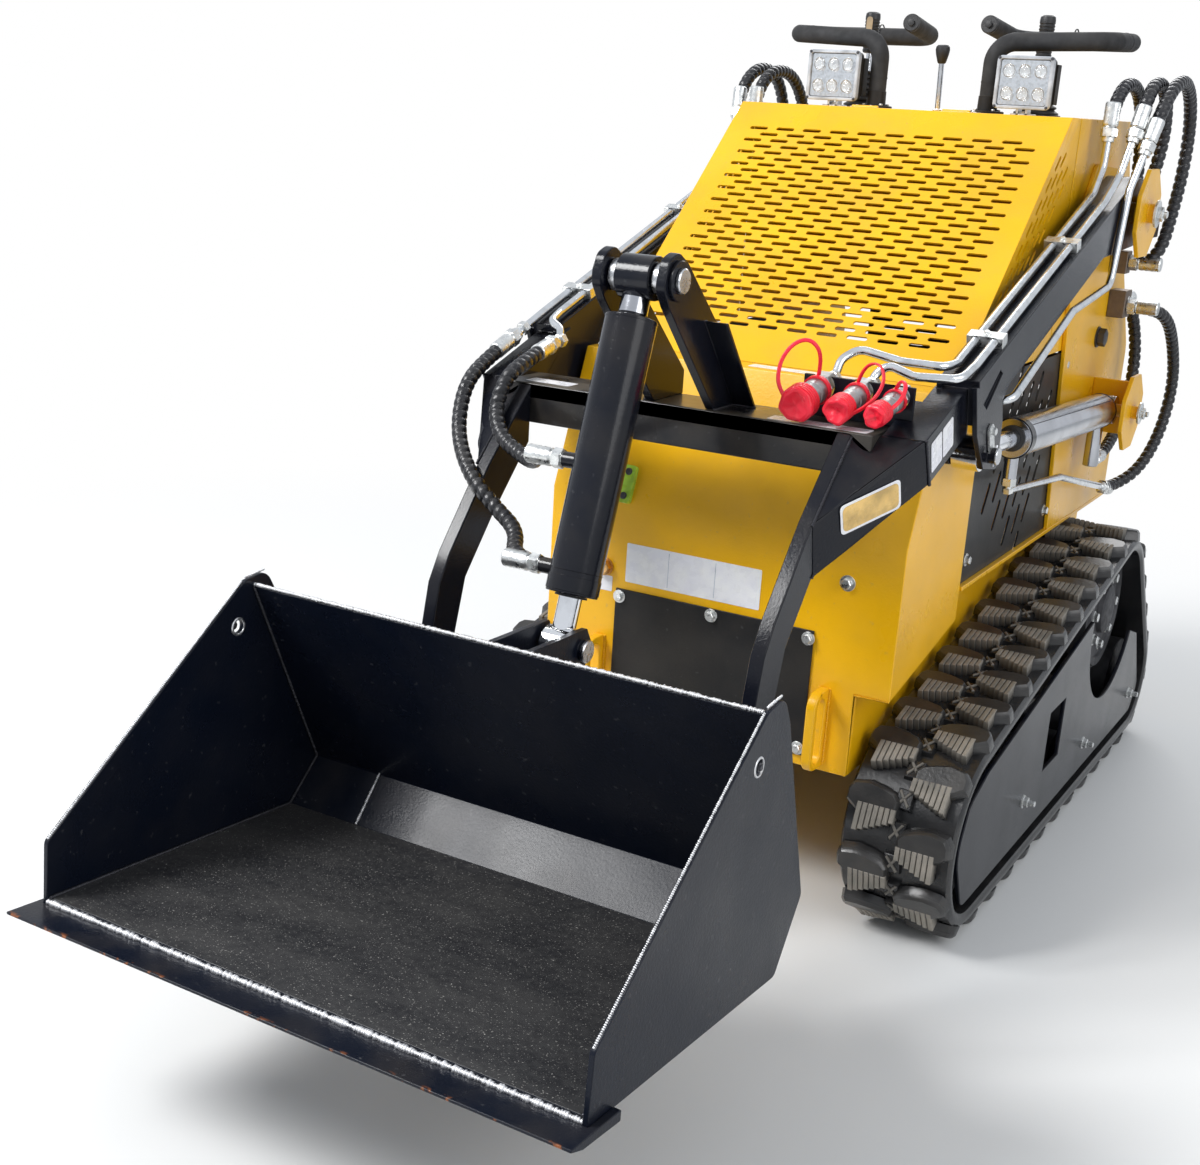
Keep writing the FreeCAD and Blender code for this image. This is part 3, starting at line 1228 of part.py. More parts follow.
def bucket_hinges():
    """The ears behind the bucket: a pair at each leg and a pair for the tilt cylinder, with their pins."""
    y, z, r = dim.bucket_pin_y, dim.bucket_pin_z, dim.leg_foot
    wall_y = dim.back_y - 58
    ear = [(wall_y + 10, z - 56), (y - r * 0.4, z - r), (y + r * 0.6, z - r * 0.8), (y + r, z),
           (y + r * 0.6, z + r * 0.8), (wall_y, z + 122), (wall_y - 30, z + 122)]
    inner, outer = dim.leg_inner - dim.ear_side, dim.leg_inner + dim.leg_plate + dim.ear_side
    pieces = [outline(inner - 12, inner, ear), outline(outer, outer + 12, ear),
              across(inner - 16, outer + 16, y, z, dim.bucket_pin)]
    hy, hz, hr = dim.hook_y, dim.hook_z, dim.hook_eye + 2
    x0 = dim.hook_half + dim.run_gap
    pieces.append(outline(x0, x0 + 10, [(dim.lip_y + 6, dim.lip_z - 35), (wall_y, dim.lip_z - 125),
                                        (hy + hr * 0.3, hz - hr),
                                        (hy + hr, hz), (hy + hr * 0.4, hz + hr),
                                        (dim.lip_y + 16, dim.lip_z - 13)]))
    pieces.append(across(x0 + 9, x0 + 14, hy, hz, dim.tilt_pin))
    tie = box(-dim.leg_inner + 24, dim.leg_inner - 24, wall_y - 20, wall_y + 44, z + 82, z + 106)
    return pieces + [mirrored(piece) for piece in pieces] + [tie]


def bucket_inside():
    """The space inside the bucket, used to trim the ears to its back."""
    ring = [Vector(-shell_half, y, z) for y, z in inside]
    return solid(Part.Face(Part.makePolygon(ring + ring[:1])).extrude(Vector(2 * shell_half, 0, 0)))


node(cut(fuse(*bucket_hinges()), bucket_inside(), shell), "bucket_hinges")

for item in doc.Objects:
    if "Invalid" in item.State or "Error" in item.State:
        raise ValueError(f"{item.Name} ({item.Label}) failed: {item.State}")
doc.recompute()
os.makedirs("parts", exist_ok=True)
for item in nodes:
    shape = item.Shape
    if shape.isNull() or not shape.isValid():
        raise ValueError(f"{item.Label} has no valid shape")
    shape.exportStep(f"parts/{item.Label}.step")
    print(item.Label, len(shape.Solids), round(shape.Volume))
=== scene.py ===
import json
import math

import bmesh
import bpy
from mathutils import Matrix, Vector

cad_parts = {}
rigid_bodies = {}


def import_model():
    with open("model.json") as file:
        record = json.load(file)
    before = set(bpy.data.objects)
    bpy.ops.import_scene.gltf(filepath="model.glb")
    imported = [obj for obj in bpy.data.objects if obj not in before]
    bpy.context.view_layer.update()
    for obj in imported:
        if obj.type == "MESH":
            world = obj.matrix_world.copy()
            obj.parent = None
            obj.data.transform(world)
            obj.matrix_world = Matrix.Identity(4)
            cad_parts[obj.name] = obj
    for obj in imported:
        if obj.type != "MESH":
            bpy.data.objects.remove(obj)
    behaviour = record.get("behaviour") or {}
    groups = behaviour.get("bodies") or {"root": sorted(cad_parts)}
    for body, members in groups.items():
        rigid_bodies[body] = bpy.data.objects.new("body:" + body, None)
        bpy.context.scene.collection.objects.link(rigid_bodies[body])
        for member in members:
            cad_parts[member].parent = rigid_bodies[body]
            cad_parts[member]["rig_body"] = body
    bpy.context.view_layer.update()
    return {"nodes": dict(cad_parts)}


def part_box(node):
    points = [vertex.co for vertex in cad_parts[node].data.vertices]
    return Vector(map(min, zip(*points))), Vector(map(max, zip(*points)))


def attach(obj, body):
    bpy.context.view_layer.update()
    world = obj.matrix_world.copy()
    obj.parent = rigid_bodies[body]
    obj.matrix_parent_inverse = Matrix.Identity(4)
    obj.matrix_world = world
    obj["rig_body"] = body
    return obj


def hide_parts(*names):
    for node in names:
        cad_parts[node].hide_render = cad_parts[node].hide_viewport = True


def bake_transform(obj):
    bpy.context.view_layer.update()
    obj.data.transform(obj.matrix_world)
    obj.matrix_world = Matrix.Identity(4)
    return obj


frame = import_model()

scene = bpy.context.scene

# ------------------------------------------------------------------ camera
# A long lens stands on the machine's front left and looks down into the bucket, leaning a little to one side.
# Its three axes are worked out from the azimuth, the pitch and the roll.
azimuth, pitch, roll = (math.radians(angle) for angle in (30.724, 17.906, 3.0145))
flat_way = Vector((math.sin(azimuth), -math.cos(azimuth), 0))
backward = flat_way * math.cos(pitch) + Vector((0, 0, math.sin(pitch)))
level = (-backward).cross(Vector((0, 0, 1))).normalized()
lifted = level.cross(-backward)
lens_right = level * math.cos(roll) + lifted * math.sin(roll)
lens_up = lifted * math.cos(roll) - level * math.sin(roll)
lens = bpy.data.cameras.new("camera")
lens.sensor_width = 36
lens.lens = 48.44
lens.shift_x = 0.03025
lens.shift_y = 0.03358
camera = bpy.data.objects.new("camera", lens)
camera.matrix_world = (Matrix.Translation((1.0590, -2.4736, 1.2489))
                       @ Matrix((lens_right, lens_up, backward)).transposed().to_4x4())
scene.collection.objects.link(camera)
scene.camera = camera

# ------------------------------------------------------------------ studio
# A pale floor and three large soft boxes stand round the machine, in a pale room.
# The floor keeps the shadow near the machine and turns to plain white further out.
scene.view_settings.view_transform = "Standard"


def add(tree, kind, values=(), **settings):
    """A node of a kind. Values go to its sockets in turn, and settings with a capital to sockets by name."""
    item = tree.nodes.new(kind)
    for name, setting in settings.items():
        if not name[0].isupper():
            setattr(item, name, setting)
    wanted = [(item.inputs[i], value) for i, value in enumerate(values)]
    wanted += [(item.inputs[name.replace("_", " ")], value)
               for name, value in settings.items() if name[0].isupper()]
    for socket, value in wanted:
        if isinstance(value, bpy.types.NodeSocket):
            tree.links.new(value, socket)
        elif value is not None:
            socket.default_value = value
    return item


def soft_box(name, place, target, size, power):
    """A square soft lamp that faces a point."""
    lamp = bpy.data.lights.new(name, "AREA")
    lamp.shape = "SQUARE"
    lamp.size = size
    lamp.energy = power
    holder = bpy.data.objects.new(name, lamp)
    scene.collection.objects.link(holder)
    facing = (Vector(place) - Vector(target)).to_track_quat("Z", "Y").to_matrix().to_4x4()
    holder.matrix_world = Matrix.Translation(place) @ facing


soft_box("key_lamp", (-2.9, -3.4, 4.6), (0, -0.2, 0.6), 2.0, 350)
soft_box("fill_lamp", (4.2, -1.6, 3.0), (0, 0, 0.6), 3.0, 80)
soft_box("back_lamp", (-1.0, 4.6, 3.6), (0, 0.3, 0.8), 2.6, 90)

world = bpy.data.worlds.new("room")
scene.world = world
world.use_nodes = True
air = world.node_tree
room = air.nodes["Background"]
room.inputs["Color"].default_value = (0.86, 0.92, 1.0, 1)
room.inputs["Strength"].default_value = 0.55
rays = add(air, "ShaderNodeLightPath")
seen = add(air, "ShaderNodeMath", [rays.outputs["Is Camera Ray"], rays.outputs["Is Transmission Ray"]],
           operation="MAXIMUM")
white = add(air, "ShaderNodeBackground", Color=(1, 1, 1, 1), Strength=1.0)
mirrored = add(air, "ShaderNodeBackground", Color=(0.90, 0.94, 1.0, 1), Strength=0.80)
glossy = add(air, "ShaderNodeMixShader", [rays.outputs["Is Glossy Ray"], room.outputs[0],
                                          mirrored.outputs[0]])
sky = add(air, "ShaderNodeMixShader", [seen.outputs[0], glossy.outputs[0], white.outputs[0]])
air.links.new(sky.outputs[0], air.nodes["World Output"].inputs["Surface"])


def finish(name, shine, metallic=0.0, coat=0.0):
    """A new material, its node tree and its shader, with the plain values set on the shader itself."""
    made = bpy.data.materials.new(name)
    made.use_nodes = True
    shader = made.node_tree.nodes["Principled BSDF"]
    shader.inputs["Roughness"].default_value = shine
    shader.inputs["Metallic"].default_value = metallic
    shader.inputs["Coat Weight"].default_value = coat
    shader.inputs["Coat Roughness"].default_value = 0.12
    return made, made.node_tree, shader


reach = 14
floor_corners = [(-reach, -reach, 0), (reach, -reach, 0), (reach, reach, 0), (-reach, reach, 0)]
floor_mesh = bpy.data.meshes.new("floor")
floor_mesh.from_pydata(floor_corners, [], [(0, 1, 2, 3)])
floor = bpy.data.objects.new("floor", floor_mesh)
scene.collection.objects.link(floor)
pale, tree, shader = finish("pale_floor", 0.8)
shader.inputs["Base Color"].default_value = (0.80, 0.80, 0.79, 1)
where = add(tree, "ShaderNodeTexCoord")
away = add(tree, "ShaderNodeVectorMath", [where.outputs["Object"]], operation="LENGTH")
fade = add(tree, "ShaderNodeMapRange", interpolation_type="SMOOTHSTEP", Value=away.outputs["Value"],
           From_Min=1.5, From_Max=3.2)
eye = add(tree, "ShaderNodeLightPath")
open_floor = add(tree, "ShaderNodeMath", [fade.outputs[0], eye.outputs["Is Camera Ray"]],
                 operation="MULTIPLY")
glow = add(tree, "ShaderNodeEmission", Color=(1, 1, 1, 1), Strength=1.0)
surface = add(tree, "ShaderNodeMixShader", [open_floor.outputs[0], shader.outputs[0], glow.outputs[0]])
tree.links.new(surface.outputs[0], tree.nodes["Material Output"].inputs["Surface"])
floor_mesh.materials.append(pale)

# ------------------------------------------------------------------ hoses
# Oil hoses in black spiral guards feed the arm's steel lines, the tilt cylinder and the lift cylinders.
# Each is held at both ends, in a crimped zinc sleeve behind a hexagon nut.


def mottle(tree, scale, detail=3.0, low=0.35, high=0.65, stretch=(1, 1, 1)):
    """Noise on the piece's own coordinates, spread between two limits; returns its socket."""
    where = add(tree, "ShaderNodeTexCoord")
    shift = add(tree, "ShaderNodeMapping", Vector=where.outputs["Object"], Scale=stretch)
    cloud = add(tree, "ShaderNodeTexNoise", Vector=shift.outputs[0], Scale=scale, Detail=detail)
    limits = add(tree, "ShaderNodeMapRange", Value=cloud.outputs["Fac"], From_Min=low, From_Max=high)
    return limits.outputs[0]


def between(tree, factor, first, second):
    """A colour that runs from one to another with a factor; a colour may be a socket."""
    mix = add(tree, "ShaderNodeMix", [factor], data_type="RGBA")
    for i, colour in ((6, first), (7, second)):
        if isinstance(colour, bpy.types.NodeSocket):
            tree.links.new(colour, mix.inputs[i])
        else:
            mix.inputs[i].default_value = (*colour, 1)
    return mix.outputs[2]


def number(tree, factor, low, high):
    """A value that runs from low to high with a factor."""
    return add(tree, "ShaderNodeMapRange", Value=factor, To_Min=low, To_Max=high).outputs[0]


def relief(tree, shader, height, depth, strength=1.0, under=None):
    """A bump of a depth in metres on the shader, over an earlier bump if there is one."""
    bump = add(tree, "ShaderNodeBump", Distance=depth, Strength=strength, Height=height)
    if under:
        tree.links.new(under.outputs[0], bump.inputs["Normal"])
    tree.links.new(bump.outputs[0], shader.inputs["Normal"])
    return bump


def upward(tree):
    """How far a face looks up, from 0 to 1."""
    where = add(tree, "ShaderNodeTexCoord")
    split = add(tree, "ShaderNodeSeparateXYZ", [where.outputs["Normal"]])
    spread = add(tree, "ShaderNodeMapRange", Value=split.outputs["Z"], From_Min=0.3, From_Max=1.0)
    return spread.outputs[0]


def calc(tree, operation, *values):
    """The result of a sum on sockets and numbers."""
    return add(tree, "ShaderNodeMath", values, operation=operation).outputs[0]


dry_dust = (0.16, 0.145, 0.12)


def rubber(name, colour, shine, dusty):
    """Moulded rubber or plastic: a fine skin, cloudy colour, and dust where it lies open."""
    made, tree, shader = finish(name, shine)
    pale_tone = tuple(min(0.88, channel * 1.7) for channel in colour)
    skin = between(tree, mottle(tree, 35, 5), colour, pale_tone)
    open_dust = calc(tree, "MULTIPLY", mottle(tree, 18, 7, 0.42, 0.8), upward(tree))
    lying = calc(tree, "MULTIPLY", open_dust, dusty)
    tree.links.new(between(tree, lying, skin, dry_dust), shader.inputs["Base Color"])
    tree.links.new(number(tree, mottle(tree, 60, 4), shine - 0.06, shine + 0.12), shader.inputs["Roughness"])
    fine = relief(tree, shader, mottle(tree, 900, 2), 0.0002, 0.5)
    relief(tree, shader, mottle(tree, 70, 4), 0.0005, 0.35, fine)
    return made


def metal(name, colour, shine, spread, coarse):
    """Bare or plated metal with uneven shine and fine marks."""
    made, tree, shader = finish(name, shine, 1.0)
    dull = tuple(channel * 0.72 for channel in colour)
    tree.links.new(between(tree, mottle(tree, coarse, 5, 0.45, 0.8), colour, dull),
                   shader.inputs["Base Color"])
    tree.links.new(number(tree, mottle(tree, coarse * 2, 4), shine, shine + spread),
                   shader.inputs["Roughness"])
    relief(tree, shader, mottle(tree, coarse * 12, 3), 0.0001, 0.35)
    return made


def smooth(mesh, angle=35):
    """Soft shading, with the edges sharper than an angle left sharp."""
    mesh.polygons.foreach_set("use_smooth", [True] * len(mesh.polygons))
    mesh.set_sharp_from_angle(angle=math.radians(angle))
    return mesh


def place(name, mesh, material, body=None, slot=None, replaces=()):
    """A finished mesh becomes a piece, which rides on a body and may stand for CAD nodes."""
    piece = bpy.data.objects.new(name, mesh)
    scene.collection.objects.link(piece)
    if material:
        coat_all(mesh, material)
    if body:
        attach(piece, body)
    if replaces:
        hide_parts(*replaces)
    return piece


def plan(name, **inputs):
    """A geometry node tree with named inputs; returns the tree and its input and output nodes."""
    tree = bpy.data.node_groups.new(name, "GeometryNodeTree")
    tree.interface.new_socket("Geometry", in_out="OUTPUT", socket_type="NodeSocketGeometry")
    tree.interface.new_socket("Geometry", in_out="INPUT", socket_type="NodeSocketGeometry")
    kinds = {float: "Float", int: "Int", tuple: "Vector", bpy.types.Material: "Material",
             bpy.types.Object: "Object"}
    for label, kind in inputs.items():
        tree.interface.new_socket(label, in_out="INPUT", socket_type="NodeSocket" + kinds[kind])
    return tree, tree.nodes.new("NodeGroupInput"), tree.nodes.new("NodeGroupOutput")


def applied(carrier):
    """The plain mesh of an object with its modifiers applied; the object is removed."""
    result = bpy.data.meshes.new_from_object(carrier.evaluated_get(bpy.context.evaluated_depsgraph_get()))
    bpy.data.objects.remove(carrier)
    return result


def grown(tree, mesh, **values):
    """The plain mesh that a geometry node tree makes of a mesh; its other inputs may be meshes too."""
    carrier = bpy.data.objects.new("carrier", mesh)
    scene.collection.objects.link(carrier)
    modifier = carrier.modifiers.new(tree.name, "NODES")
    modifier.node_group = tree
    sockets = {item.name: item.identifier for item in tree.interface.items_tree if item.in_out == "INPUT"}
    samples = []
    for label, value in values.items():
        if isinstance(value, bpy.types.Mesh):
            value = bpy.data.objects.new(label, value)
            scene.collection.objects.link(value)
            samples.append(value)
        modifier[sockets[label]] = value
    carrier.update_tag()
    result = applied(carrier)
    for sample in samples:
        bpy.data.objects.remove(sample)
    coats = [item for item in result.materials if item]
    if len(coats) == 1:
        coat_all(result, coats[0])
    return result


def coat_all(mesh, material):
    """One material over a whole mesh."""
    mesh.materials.clear()
    mesh.materials.append(material)
    mesh.polygons.foreach_set("material_index", [0] * len(mesh.polygons))


def close_tree(tree, given, output, shape):
    """Ends a tree in Realize Instances and Set Material."""
    whole = add(tree, "GeometryNodeRealizeInstances", Geometry=shape)
    coated = add(tree, "GeometryNodeSetMaterial", Geometry=whole.outputs[0],
                 Material=given.outputs["Material"])
    tree.links.new(coated.outputs[0], output.inputs[0])


def route(points):
    """A hose's smooth line through its route, as a plain mesh of edges."""
    curve = bpy.data.curves.new("route", "CURVE")
    curve.dimensions = "3D"
    curve.resolution_u = 12
    spline = curve.splines.new("NURBS")
    spline.points.add(len(points) - 1)
    for corner, point in zip(spline.points, points):
        corner.co = (*(value / 1000 for value in point), 1)
    spline.order_u = 3
    spline.use_endpoint_u = True
    carrier = bpy.data.objects.new("route", curve)
    scene.collection.objects.link(carrier)
    return applied(carrier)


# the spiral guard is a tube along the line, with a groove that winds round it
wound, given, output = plan("spiral guard", Radius=float, Pitch=float, Groove=float,
                            Material=bpy.types.Material)
line = add(wound, "GeometryNodeMeshToCurve", Mesh=given.outputs["Geometry"])
stepped = add(wound, "GeometryNodeResampleCurve", mode="LENGTH", Curve=line.outputs[0],
              Length=calc(wound, "DIVIDE", given.outputs["Pitch"], 6.0))
along = add(wound, "GeometryNodeSplineParameter")
marked_line = add(wound, "GeometryNodeCaptureAttribute", domain="POINT")
marked_line.capture_items.new("FLOAT", "Length")
wound.links.new(stepped.outputs[0], marked_line.inputs[0])
wound.links.new(along.outputs["Length"], marked_line.inputs[1])
ring = add(wound, "GeometryNodeCurvePrimitiveCircle", mode="RADIUS", Resolution=14,
           Radius=given.outputs["Radius"])
marked_ring = add(wound, "GeometryNodeCaptureAttribute", domain="POINT")
marked_ring.capture_items.new("FLOAT", "Turn")
wound.links.new(ring.outputs[0], marked_ring.inputs[0])
wound.links.new(along.outputs["Factor"], marked_ring.inputs[1])
tube = add(wound, "GeometryNodeCurveToMesh", Curve=marked_line.outputs[0],
           Profile_Curve=marked_ring.outputs[0], Fill_Caps=True)
turns = calc(wound, "SUBTRACT", calc(wound, "DIVIDE", marked_line.outputs[1], given.outputs["Pitch"]),
             marked_ring.outputs[1])
off_middle = calc(wound, "SUBTRACT", calc(wound, "FRACT", turns), 0.5)
squared = calc(wound, "MULTIPLY", off_middle, off_middle)
dip = calc(wound, "EXPONENT", calc(wound, "MULTIPLY", squared, -70.0))
inward = calc(wound, "MULTIPLY", calc(wound, "MULTIPLY", dip, given.outputs["Groove"]), -1.0)
facing = add(wound, "GeometryNodeInputNormal")
dent = add(wound, "ShaderNodeVectorMath", [facing.outputs[0]], operation="SCALE", Scale=inward)
grooved = add(wound, "GeometryNodeSetPosition", Geometry=tube.outputs[0], Offset=dent.outputs[0])
close_tree(wound, given, output, grooved.outputs[0])

# fittings such as nuts, sleeves and bolts sit at points, each facing its own way
fitted, given, output = plan("fittings", Fitting=bpy.types.Object, Material=bpy.types.Material)
shape = add(fitted, "GeometryNodeObjectInfo", Object=given.outputs["Fitting"])
way = add(fitted, "GeometryNodeInputNamedAttribute", data_type="FLOAT_VECTOR", Name="facing")
size = add(fitted, "GeometryNodeInputNamedAttribute", data_type="FLOAT", Name="size")
turn = add(fitted, "FunctionNodeAlignRotationToVector", axis="Z", Vector=way.outputs[0])
points = add(fitted, "GeometryNodeMeshToPoints", Mesh=given.outputs["Geometry"])
copies = add(fitted, "GeometryNodeInstanceOnPoints", Points=points.outputs[0],
             Instance=shape.outputs["Geometry"], Rotation=turn.outputs[0], Scale=size.outputs[0])
close_tree(fitted, given, output, copies.outputs[0])


def skinned(name, rings, capped=True):
    """A mesh through rings of points in mm: closed at both ends, or else joined up into a loop."""
    count = len(rings[0])
    last = (len(rings) - 1) * count
    faces = [tuple(range(count))[::-1], tuple(range(last, last + count))] if capped else []
    for i in range(len(rings) - capped):
        low, high = i * count, (i + 1) % len(rings) * count
        for k in range(count):
            after = (k + 1) % count
            faces.append((low + k, low + after, high + after, high + k))
    mesh = bpy.data.meshes.new(name)
    mesh.from_pydata([tuple(value / 1000 for value in point) for ring in rings for point in ring], [], faces)
    return mesh


def turned(profile, sides=24, capped=True):
    """A piece turned round Z from (height, radius) steps in mm: closed at both ends, or else a ring."""
    turns = [math.tau * k / sides for k in range(sides)]
    rings = [[(radius * math.cos(turn), radius * math.sin(turn), height) for turn in turns]
             for height, radius in profile]
    return smooth(skinned("turned", rings, capped), 28)


def fittings(name, mesh, spots, material, body, slot):
    """Copies of a small shape as one piece; each spot is (point, facing) or (point, facing, size), in mm."""
    seeds = bpy.data.meshes.new("spots")
    seeds.from_pydata([Vector(spot[0]) / 1000 for spot in spots], [], [])
    seeds.attributes.new("facing", "FLOAT_VECTOR", "POINT")
    seeds.attributes.new("size", "FLOAT", "POINT")
    for item, spot in zip(seeds.attributes["facing"].data, spots):
        item.vector = Vector(spot[1]).normalized()
    for item, spot in zip(seeds.attributes["size"].data, spots):
        item.value = spot[2] if len(spot) > 2 else 1.0
    return place(name, grown(fitted, seeds, Fitting=mesh, Material=material), None, body, slot)


hose_rubber = rubber("hose_guard", (0.010, 0.010, 0.012), shine=0.24, dusty=0.22)
zinc = metal("zinc_plate", (0.78, 0.79, 0.78), shine=0.20, spread=0.25, coarse=70)
hose_radius = 0.0118
guard_pitch = 0.0150
groove_depth = 0.0036
sleeve = turned([(-8, 8.5), (-7, 10.5), (0, 10.5), (0.5, 12.5), (16, 12.5),
                 (16.5, 10), (20, 12.8), (24, 13.3), (29, 12.7), (32, 13.3),
                 (37, 12.7), (41, 13.3), (56, 13.3), (58, 12)])
hexagon = turned([(0, 12.5), (1.5, 14.5), (14.5, 14.5), (16, 12.5)], 6)


def mirrored_route(points):
    """The same route on the machine's other side."""
    return [(-x, y, z) for x, y, z in points]


sleeve_spots = {}


def guarded_hose(name, points, first_body, last_body):
    """A guarded hose along a route in mm; it notes where sleeves go on the two bodies that hold its ends."""
    hose = grown(wound, route(points), Radius=hose_radius, Pitch=guard_pitch, Groove=groove_depth,
                 Material=hose_rubber)
    piece = place(name, smooth(hose, 75), None, slot="hose_rubber")
    start, end = (Vector(point) for point in (points[0], points[-1]))
    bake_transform(piece)
    sleeve_spots.setdefault(first_body, []).append((start, Vector(points[1]) - start))
    sleeve_spots.setdefault(last_body, []).append((end, Vector(points[-2]) - end))
    return piece


upper_tilt = [(-290, -282, 882), (-276, -404, 862), (-280, -436, 838), (-278, -459, 800), (-243, -496, 770),
              (-190, -516, 752), (-146, -552, 755), (-100, -619, 784), (-56.4, -619, 784)]
lower_tilt = [(-364, -280, 885.5), (-364, -374, 850.7), (-357, -426, 823), (-337, -471, 778),
              (-303, -510, 742), (-249, -552, 710), (-204, -560, 680), (-146, -588, 660), (-104, -666, 645),
              (-56.4, -666, 645)]
loop_inner = [(336, 488, 1235), (336, 491.3, 1276), (336, 538, 1318), (336, 610, 1328), (336, 676, 1308),
              (336, 728, 1250), (336, 752, 1176), (336, 752, 1096.4)]
loop_outer = [(376, 498, 1235), (381.7, 515, 1279.5), (381, 560, 1322), (380, 630, 1332), (380, 690, 1306),
              (379, 722, 1250), (374, 724, 1194), (366, 720, 1150), (366, 720, 1096.4)]
loop_side = [(398, 502, 1215), (405.7, 523.5, 1265), (409, 586, 1320), (409, 672, 1340), (407, 756, 1314),
             (404, 812, 1252), (402, 818, 1170), (399, 790, 1090), (398, 758, 1040), (376, 752, 1011),
             (345.6, 752, 1011)]
lift_front = [(345.6, 790, 926), (384, 790, 926), (410, 846, 910), (414, 930, 850), (416, 990, 762),
              (412, 960, 664), (392, 905, 590), (350, 850, 556.6), (350, 790, 570)]
lift_rear = [(330, 815.4, 936), (330, 860, 936), (340, 912, 876), (350, 920, 795), (350, 880, 710),
             (350, 812, 664), (350, 738, 643), (350, 674.4, 643)]

upper_hose = guarded_hose("tilt_hose_upper", upper_tilt, "lift_arm", "tilt_barrel")
guarded_hose("tilt_hose_lower", lower_tilt, "lift_arm", "tilt_barrel")
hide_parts("tilt_hoses")
first_loop = guarded_hose("loop_hose_inner_left", loop_inner, "lift_arm", "chassis")
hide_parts("loop_hoses")
guarded_hose("loop_hose_outer_left", loop_outer, "lift_arm", "chassis")
guarded_hose("loop_hose_side", loop_side, "lift_arm", "chassis")
guarded_hose("loop_hose_inner_right", mirrored_route(loop_inner), "lift_arm", "chassis")
guarded_hose("loop_hose_outer_right", mirrored_route(loop_outer), "lift_arm", "chassis")
for hand, across in (("left", list), ("right", mirrored_route)):
    front_hose = guarded_hose(f"lift_hose_front_{hand}", across(lift_front), "chassis", f"lift_barrel_{hand}")
    guarded_hose(f"lift_hose_rear_{hand}", across(lift_rear), "chassis", f"lift_barrel_{hand}")
    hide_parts(f"cylinder_hoses_{hand}")
for body, spots in sleeve_spots.items():
    fittings(f"sleeves_on_{body}", sleeve, spots, zinc, body, "zinc")
    fittings(f"nuts_on_{body}", hexagon, spots, zinc, body, "zinc")

# ------------------------------------------------------------------ hood
# The hood is one folded steel sheet, powder coated yellow: a sloped grille between two side flanges.
# Rows of short slots are punched through the slope and through the flanges beside the folds.


# black paint gives back less of the pale room than yellow paint does
bright_gleam, black_gleam = 0.40, 0.16
earth = (0.20, 0.165, 0.115)


def paint(name, colour, shine, coat, dusty, film=0.0, scuffs=0.35):
    """Sprayed paint: faint orange peel, cloudy gloss, dust where it lies open, a dull film and scuffs."""
    made, tree, shader = finish(name, shine, coat=coat)
    shader.inputs["Specular IOR Level"].default_value = bright_gleam if max(colour) > 0.1 else black_gleam
    deep = tuple(channel * 0.88 for channel in colour)
    skin = between(tree, mottle(tree, 6, 4), colour, deep)
    lying = calc(tree, "MULTIPLY", mottle(tree, 14, 9, 0.40, 0.78), number(tree, upward(tree), 0.25, 1.0))
    cover = calc(tree, "MAXIMUM", calc(tree, "MULTIPLY", lying, dusty),
                 calc(tree, "MULTIPLY", mottle(tree, 5, 8, 0.45, 0.75), film))
    dusted = between(tree, cover, skin, earth)
    marks = calc(tree, "MULTIPLY", mottle(tree, 95, 8, 0.66, 0.74), scuffs)
    bare = tuple(min(1, channel * 0.5 + 0.10) for channel in colour)
    tree.links.new(between(tree, marks, dusted, bare), shader.inputs["Base Color"])
    dull = calc(tree, "MULTIPLY", cover, 0.45)
    gloss = number(tree, mottle(tree, 9, 6), shine, shine + 0.10)
    tree.links.new(calc(tree, "ADD", gloss, dull), shader.inputs["Roughness"])
    first = relief(tree, shader, mottle(tree, 260, 2), 0.00025, 0.35)
    relief(tree, shader, mottle(tree, 1300, 2), 0.0001, 0.25, first)
    return made


merge_distance, flat_angle = 0.00002, math.radians(0.4)


def eased(node, width=1.6, segments=2, angle=32):
    """A merged copy of a CAD node's mesh, with its sharp edges rounded by a width in mm."""
    work = bmesh.new()
    work.from_mesh(frame["nodes"][node].data)
    bmesh.ops.remove_doubles(work, verts=work.verts, dist=merge_distance)
    bmesh.ops.dissolve_limit(work, angle_limit=flat_angle, verts=work.verts, edges=work.edges)
    work.verts.index_update()
    mesh = bpy.data.meshes.new(node)
    mesh.from_pydata([vertex.co for vertex in work.verts], [],
                     [[vertex.index for vertex in face.verts] for face in work.faces])
    work.free()
    if not width:
        return smooth(mesh, angle)
    mesh.polygons.foreach_set("use_smooth", [True] * len(mesh.polygons))
    carrier = bpy.data.objects.new("carrier", mesh)
    scene.collection.objects.link(carrier)
    round_off = carrier.modifiers.new("edges", "BEVEL")
    round_off.width = width / 1000
    round_off.segments = segments
    round_off.limit_method = "ANGLE"
    round_off.angle_limit = math.radians(angle)
    round_off.use_clamp_overlap = False
    round_off.harden_normals = True
    return applied(carrier)


def dressed(node, material, width=1.6, segments=2):
    """An eased copy of a CAD node takes the node's place, on its body."""
    original = frame["nodes"][node]
    return place(f"{node}_skin", eased(node, width, segments), material, original["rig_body"],
                 original.data.materials[0].name.split(".")[0], (node,))


def slot_cutter(length, width, depth):
    """A long-hole punch, round at both ends, as a closed solid about its own middle; sizes in mm."""
    sides = 16
    radius = width / 2
    straight = length / 2 - radius
    ring = []
    for k in range(sides):
        angle = math.tau * (k + 0.5) / sides
        shift = straight if math.cos(angle) > 0 else -straight
        ring.append((shift + radius * math.cos(angle), radius * math.sin(angle)))
    return skinned("punch", [[(x, y, z) for x, y in ring] for z in (-depth / 2, depth / 2)])


